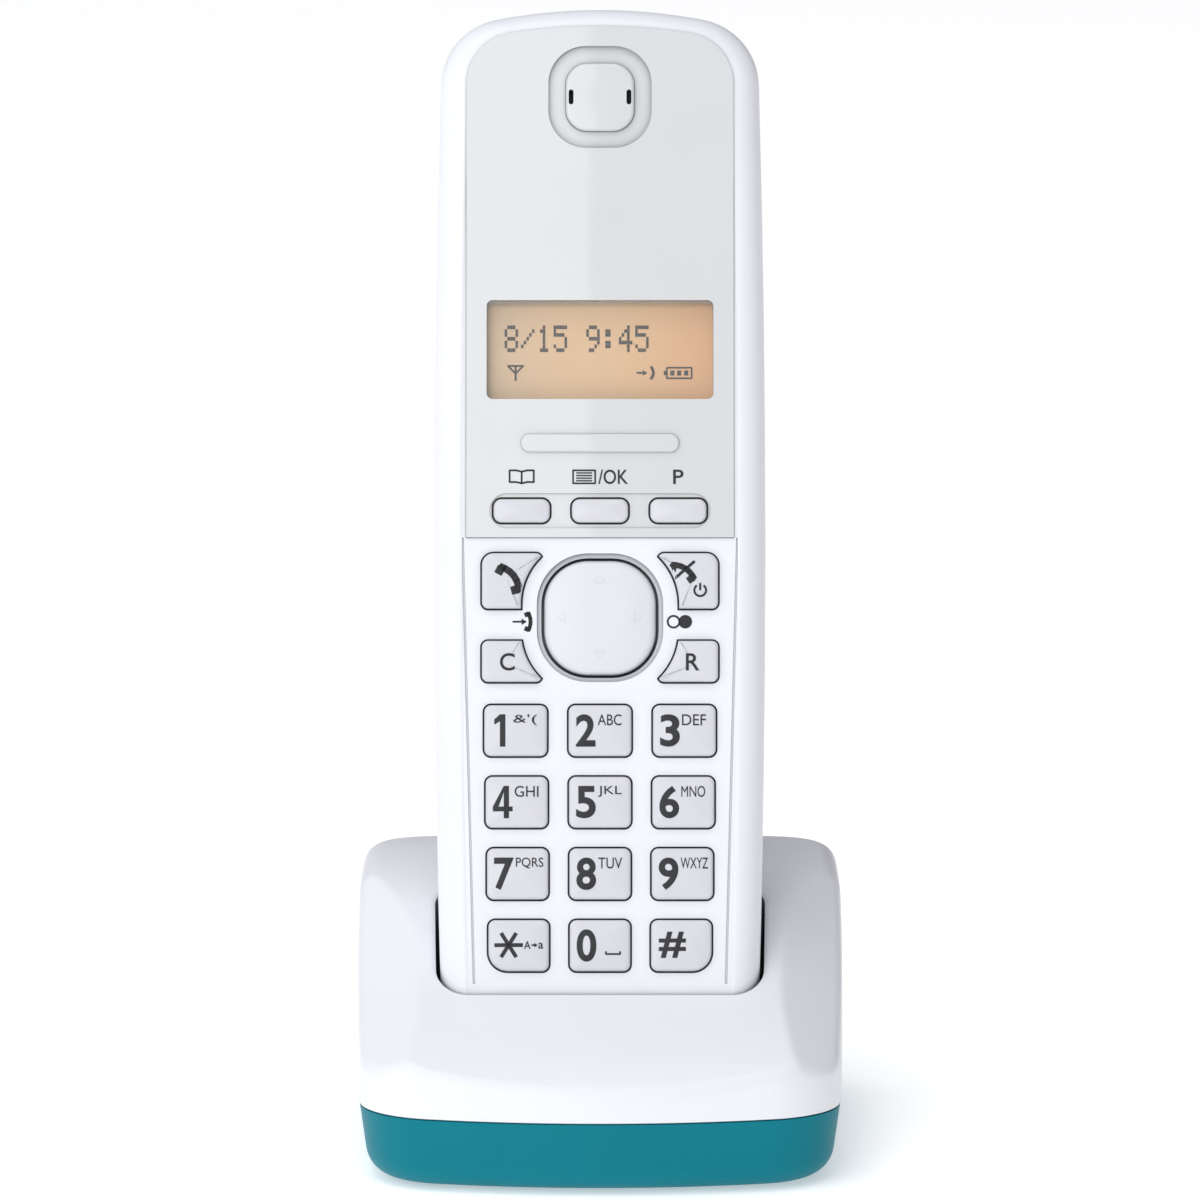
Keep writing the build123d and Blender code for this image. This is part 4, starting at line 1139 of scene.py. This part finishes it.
@dataclass
class Keypad:
    """All the keys of the handset, with their caps and legends."""

    handset: HandsetFrame
    shop: Paintshop
    printer: PadPrinter
    digit_height: float = 4.7
    digit_width: float = 2.85
    letter_height: float = 1.6
    letters: dict[str, str] = field(
        default_factory=lambda: {
            "1": "&'(",
            "2": "ABC",
            "3": "DEF",
            "4": "GHI",
            "5": "JKL",
            "6": "MNO",
            "7": "PQRS",
            "8": "TUV",
            "9": "WXYZ",
        }
    )

    def cap(self, node: str, slot: Slot = Slot.KEY, **sizes: float) -> bpy.types.Object:
        """Builds and dresses one cap in place of its CAD key.

        Args:
            node: Name of the CAD key, which is also its body.
            slot: Slot of its finish.
            **sizes: Sizes that differ from the usual key's.

        Returns:
            The cap.
        """
        piece = KeyCap(self.handset, node, **sizes).build()
        self.shop.dress(piece, slot, node)
        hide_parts(node)
        LOG.info("cap %s", piece.name)
        return piece

    def legend(self, cap: bpy.types.Object, node: str, art: Artwork, slot: Slot = Slot.KEY_INK) -> None:
        """Prints a legend on a cap."""
        name = f"{node}_legend"
        self.printer.print_on(name, art, self.handset.centre(node), self.handset.surface(cap), slot, node)

    def dial_art(self, figure: str) -> Artwork:
        """Draws the figure and letters of one dial key.

        Args:
            figure: A digit, "star" or "hash".

        Returns:
            The drawing.
        """
        low, high = self.handset.box(f"key_{figure}")
        half = (high.x - low.x) / MM / 2 - 0.8
        art = Artwork()
        if figure == "star":
            for turn in (0, 58, -58):
                across, up = 1.95 * math.cos(math.radians(turn)), 1.95 * math.sin(math.radians(turn))
                art.stroke([(-1.45 - across, -up), (-1.45 + across, up)], 0.55)
            art.text("A", (1.25, 0.0), 1.15, 0.95, 0.01)
            art.add(arrow((1.85, 0.0), (2.75, 0.0), 0.22, 0.5))
            return art.text("a", (3.2, -0.08), 0.85, 0.7, 0.01)
        if figure == "hash":
            return art.text("#", (-1.3, 0.05), 3.8, 3.9, 0.022)
        left = -half + half * 2 * 0.115
        middle = (left + self.digit_width / 2, -0.05)
        top, foot, side = middle[1] + self.digit_height / 2, middle[1] - self.digit_height / 2, middle[0] + 0.2
        if figure == "1":
            art.bar(side - 0.39, foot, side + 0.39, top)
            art.polygon([(side - 0.39, top), (side - 1.2, top - 0.72), (side - 1.2, top - 1.5), (side - 0.39, top - 1.0)])
        elif figure == "4":
            art.bar(side - 0.02, foot, side + 0.72, top)
            art.bar(side - 1.6, foot + 1.0, side + 1.25, foot + 1.68)
            art.polygon([(side - 1.6, foot + 1.68), (side - 0.78, foot + 1.68), (side + 0.3, top), (side - 0.02, top)])
        else:
            art.text(figure, middle, self.digit_height, self.digit_width, 0.026)
        if figure == "0":
            return art.stroke([(0.85, -0.95), (0.85, -1.3), (2.9, -1.3), (2.9, -0.95)], 0.24)
        letters = self.letters[figure]
        start = left + self.digit_width + 0.32
        width = min(3.95 if len(letters) > 3 else 3.45, half + 0.1 - start)
        return art.text(letters, (start + width / 2, 1.5), self.letter_height, width)

    def build_dial(self) -> None:
        """Builds the twelve dial keys."""
        for figure in (*"1234567890", "star", "hash"):
            node = f"key_{figure}"
            self.legend(self.cap(node), node, self.dial_art(figure))

    def build_soft_keys(self) -> None:
        """Builds the three plain keys under the display."""
        for side in ("left", "middle", "right"):
            self.cap(f"soft_key_{side}", edge=0.5 * MM, dome=0.3 * MM)

    def build_corner_keys(self) -> None:
        """Builds the talk, off, clear and recall keys round the navigator."""
        talk = receiver(4.6, 1.0, 0.75).turned(-52, (-0.35, 0.25))
        off = receiver(3.9, 0.85, 0.6).turned(-32, (-0.75, 1.25))
        off.stroke([(-2.3, -0.05), (0.9, 2.75)], 0.42)
        off.add(power_mark((1.75, -1.45), 0.85, 0.3))
        clear = Artwork().text("C", (-0.65, -0.15), 2.55, 2.15, 0.01)
        recall = Artwork().text("R", (0.65, -0.15), 2.5, 1.95, 0.01)
        for node, art in (("key_talk", talk), ("key_off", off), ("key_clear", clear), ("key_recall", recall)):
            self.legend(self.cap(node, dome=0.06 * MM), node, art)

    def build_navigator(self) -> None:
        """Builds the four-way key with faint marks for its directions."""
        cap = self.cap(
            "navigator", Slot.NAVIGATOR, edge=1.1 * MM, dome=0.5 * MM, dish=0.18 * MM, flange_depth=2.96 * MM
        )
        low, high = self.handset.box("navigator")
        reach = (high.x - low.x) / MM / 2 - 3.6
        art = Artwork()
        for turn in (0, 90, 180, 270):
            mark = Artwork().polygon([(-0.85, -0.45), (0.85, -0.45), (0.0, 0.5)]).turned(0, (0, reach))
            art.add(mark.turned(turn))
        self.legend(cap, "navigator", art, Slot.NAVIGATOR)

    def build(self) -> None:
        """Builds every key."""
        self.build_dial()
        self.build_soft_keys()
        self.build_corner_keys()
        self.build_navigator()


DOT_SHAPES = {
    "0": "01110 10001 10011 10101 11001 10001 01110",
    "1": "00100 01100 00100 00100 00100 00100 01110",
    "4": "00010 00110 01010 10010 11111 00010 00010",
    "5": "11111 10000 11110 00001 00001 10001 01110",
    "8": "01110 10001 10001 01110 10001 10001 01110",
    "9": "01110 10001 10001 01111 00001 00010 01100",
    "/": "00000 00001 00010 00100 01000 10000 00000",
    ":": "00000 01100 01100 00000 01100 01100 00000",
    " ": "00000 00000 00000 00000 00000 00000 00000",
}


@dataclass
class Display:
    """The lit display: a line of dots and a row of small signs on the glass."""

    handset: HandsetFrame
    shop: Paintshop
    printer: PadPrinter
    line: str = "8/15 9:45"
    dot_pitch: float = 0.395
    dot_height: float = 0.56
    dot_gap: float = 0.015

    def dot_line(self) -> Artwork:
        """Draws the line of dot characters, from its left end and baseline."""
        art = Artwork()
        for place, character in enumerate(self.line):
            for row, dots in enumerate(DOT_SHAPES[character].split()):
                for column, dot in enumerate(dots):
                    if dot == "1":
                        x = (place * 6 + column) * self.dot_pitch
                        z = (6 - row) * self.dot_height
                        art.bar(x, z, x + self.dot_pitch - self.dot_gap, z + self.dot_height - self.dot_gap)
        return art

    def signs(self) -> Artwork:
        """Draws the aerial, the call sign and the battery, from the left end of the row."""
        art = Artwork().stroke([(0.0, 1.9), (1.15, 0.75)], 0.27).stroke([(2.3, 1.9), (1.15, 0.75)], 0.27)
        art.bar(0.0, 1.72, 2.3, 2.0).bar(1.0, -0.35, 1.3, 1.8)
        art.add(arrow((18.7, 0.85), (20.3, 0.85), 0.28, 0.7))
        art.arc((19.9, 0.85), 1.25, 0.42, -48, 48)
        left, right, bottom, top = 23.1, 26.7, 0.05, 1.6
        art.stroke([(left, bottom), (right, bottom), (right, top), (left, top), (left, bottom)], 0.26)
        art.bar(left - 0.45, 0.5, left, 1.15)
        for i in range(3):
            art.bar(left + 0.5 + i * 1.0, 0.45, left + 1.1 + i * 1.0, 1.2)
        return art

    def build(self) -> None:
        """Prints the display's characters on the glass."""
        low, high = self.handset.box("display_window")
        glass = self.handset.surface(frame["nodes"]["lcd_glass"])
        middle = (low + high) / 2
        start = Vector((low.x + 2.55 * MM, middle.y, high.z - 7.2 * MM))
        self.printer.print_on("display_characters", self.dot_line(), start, glass, Slot.DISPLAY_INK, "handset")
        start = Vector((low.x + 3.0 * MM, middle.y, low.z + 3.3 * MM))
        self.printer.print_on("display_signs", self.signs(), start, glass, Slot.DISPLAY_INK, "handset")
        LOG.info("display characters and signs")


@dataclass
class FaceLegends:
    """Signs printed on the panel and the shell beside the keys."""

    handset: HandsetFrame
    shop: Paintshop
    printer: PadPrinter
    label_rise: float = 4.95

    def build(self) -> None:
        """Prints the signs above the soft keys and beside the navigator."""
        panel = self.handset.surface(frame["nodes"]["upper_panel"])
        shell = self.handset.surface(frame["nodes"]["front_cover"])
        menu = Artwork().add(menu_card(3.2, 1.9, 0.24).turned(0, (-2.3, 0))).text("/OK", (1.9, 0), 2.1, 4.3, 0.008)
        labels = {
            "left": open_book(3.5, 1.9, 0.26),
            "middle": menu,
            "right": Artwork().text("P", (0, 0), 2.1, 1.5, 0.008),
        }
        for side, art in labels.items():
            centre = self.handset.centre(f"soft_key_{side}") + Vector((0, 0, self.label_rise * MM))
            self.printer.print_on(f"label_{side}", art, centre, panel, Slot.KEY_INK, "handset")
        middle = self.handset.centre("navigator")
        call = arrow((-1.5, 0), (0.55, 0), 0.26, 0.75).add(receiver(2.7, 0.55, 0.35).turned(-90, (0.75, 0)))
        place = middle + Vector((-11.15 * MM, 0, -0.6 * MM))
        self.printer.print_on("sign_call", call, place, shell, Slot.KEY_INK, "handset")
        again = Artwork().arc((-0.85, 0), 0.85, 0.28, 0, 360).disc((0.85, 0), 0.98)
        place = middle + Vector((11.5 * MM, 0, -0.6 * MM))
        self.printer.print_on("sign_redial", again, place, shell, Slot.KEY_INK, "handset")
        LOG.info("face legends")


@dataclass
class Studio:
    """Pale floor, soft lights and the camera."""

    floor_size: float = 12.0
    floor_colour: str = "#fbfbfb"
    floor_glow: float = 0.44
    sky_colour: str = "#f9faff"
    sky_bright: float = 0.76
    sky_dark: float = 0.1
    sky_side: Sequence[float] = (-0.7, -0.35, 0.65)
    elevation: float = 10.45
    distance: float = 2.7
    view_width: float = 0.17407
    view_rise: float = 0.0797
    sensor: float = 36.0

    def build_floor(self) -> None:
        """Builds the pale floor, a matt paper sweep."""
        half = self.floor_size / 2
        corners = [Vector((-half, -half, 0)), Vector((half, -half, 0)), Vector((half, half, 0)), Vector((-half, half, 0))]
        floor = mesh_piece("studio_floor", corners, [[0, 1, 2, 3]])
        material, tree = new_material("matt_white_paper_sweep")
        place = add_node(tree, "ShaderNodeTexCoord").outputs["Object"]
        fibre = add_node(tree, "ShaderNodeTexNoise", values={"Scale": 900.0, "Detail": 3.0}, links={"Vector": place})
        bump = add_node(
            tree,
            "ShaderNodeBump",
            values={"Strength": 0.1, "Distance": 0.05 * MM},
            links={"Height": fibre.outputs["Fac"]},
        )
        shader = add_node(
            tree,
            "ShaderNodeBsdfPrincipled",
            values={
                "Base Color": linear(self.floor_colour),
                "Roughness": 0.9,
                "Emission Color": linear(self.floor_colour),
                "Emission Strength": self.floor_glow,
            },
            links={"Normal": bump.outputs["Normal"]},
        )
        finish_surface(tree, shader)
        floor.data.materials.append(material)

    def build_sky(self) -> None:
        """Builds the soft light of a white room, brighter towards the front left."""
        world = bpy.data.worlds.new("white_room")
        world.use_nodes = True
        tree = world.node_tree
        background = tree.nodes["Background"]
        background.inputs["Color"].default_value = linear(self.sky_colour)
        way = add_node(tree, "ShaderNodeTexCoord").outputs["Generated"]
        towards = add_node(
            tree,
            "ShaderNodeVectorMath",
            operation="DOT_PRODUCT",
            values={1: self.sky_side},
            links={0: way},
        )
        strength = add_node(
            tree,
            "ShaderNodeMapRange",
            values={"From Min": -0.5, "From Max": 0.9, "To Min": self.sky_dark, "To Max": self.sky_bright},
            links={"Value": towards.outputs["Value"]},
        )
        tree.links.new(strength.outputs[0], background.inputs["Strength"])
        bpy.context.scene.world = world

    def softbox(self, name: str, place: Vector, aim: Vector, size: Point, power: float) -> None:
        """Hangs one rectangular softbox.

        Args:
            name: Name of the light.
            place: Middle of its face.
            aim: Point that it faces.
            size: Width and height.
            power: Power in watts.
        """
        lamp = bpy.data.lights.new(name, "AREA")
        lamp.shape = "RECTANGLE"
        lamp.size, lamp.size_y = size
        lamp.energy = power
        holder = bpy.data.objects.new(name, lamp)
        holder.location = place
        holder.rotation_euler = (aim - place).to_track_quat("-Z", "Y").to_euler()
        bpy.context.scene.collection.objects.link(holder)

    def build_lights(self) -> None:
        """Hangs the softboxes: the front one ends at the middle, so half the panel mirrors it."""
        panel_low, panel_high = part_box("upper_panel")
        panel = (panel_low + panel_high) / 2
        self.softbox("front_softbox", Vector((-0.352, -0.9, 0.56)), Vector((-0.352, panel.y, panel.z)), (0.7, 0.7), 2.6)
        self.softbox("high_softbox", Vector((-0.2, -0.3, 1.35)), Vector((0, 0, 0.04)), (0.9, 0.7), 4.4)

    def build_camera(self) -> None:
        """Builds a long-lens camera a little above the handset."""
        low, high = CAD_BOX
        target = Vector(((low.x + high.x) / 2, (low.y + high.y) / 2, self.view_rise))
        rise = math.radians(self.elevation)
        away = Vector((0, -math.cos(rise), math.sin(rise)))
        lens = bpy.data.cameras.new("product_camera")
        lens.sensor_width = self.sensor
        lens.lens = self.sensor * self.distance / self.view_width
        lens.clip_start = 0.05
        lens.dof.use_dof = False
        camera = bpy.data.objects.new("product_camera", lens)
        camera.location = target + away * self.distance
        camera.rotation_euler = (-away).to_track_quat("-Z", "Y").to_euler()
        bpy.context.scene.collection.objects.link(camera)
        bpy.context.scene.camera = camera

    def build(self) -> None:
        """Builds the whole studio."""
        self.build_floor()
        self.build_sky()
        self.build_lights()
        self.build_camera()
        bpy.context.scene.view_settings.view_transform = "Standard"
        LOG.info("studio")


def main() -> None:
    """Builds the looks in order: finishes, keys, legends, display, studio."""
    logging.basicConfig(level=logging.INFO, format="%(name)s: %(message)s")
    shop = Paintshop()
    shop.dress_cad_nodes()
    handset = HandsetFrame()
    handset.measure()
    FrontRim(handset, shop).build()
    printer = PadPrinter(handset, shop)
    Keypad(handset, shop, printer).build()
    Display(handset, shop, printer).build()
    FaceLegends(handset, shop, printer).build()
    Studio().build()


if __name__ == "__main__":
    main()
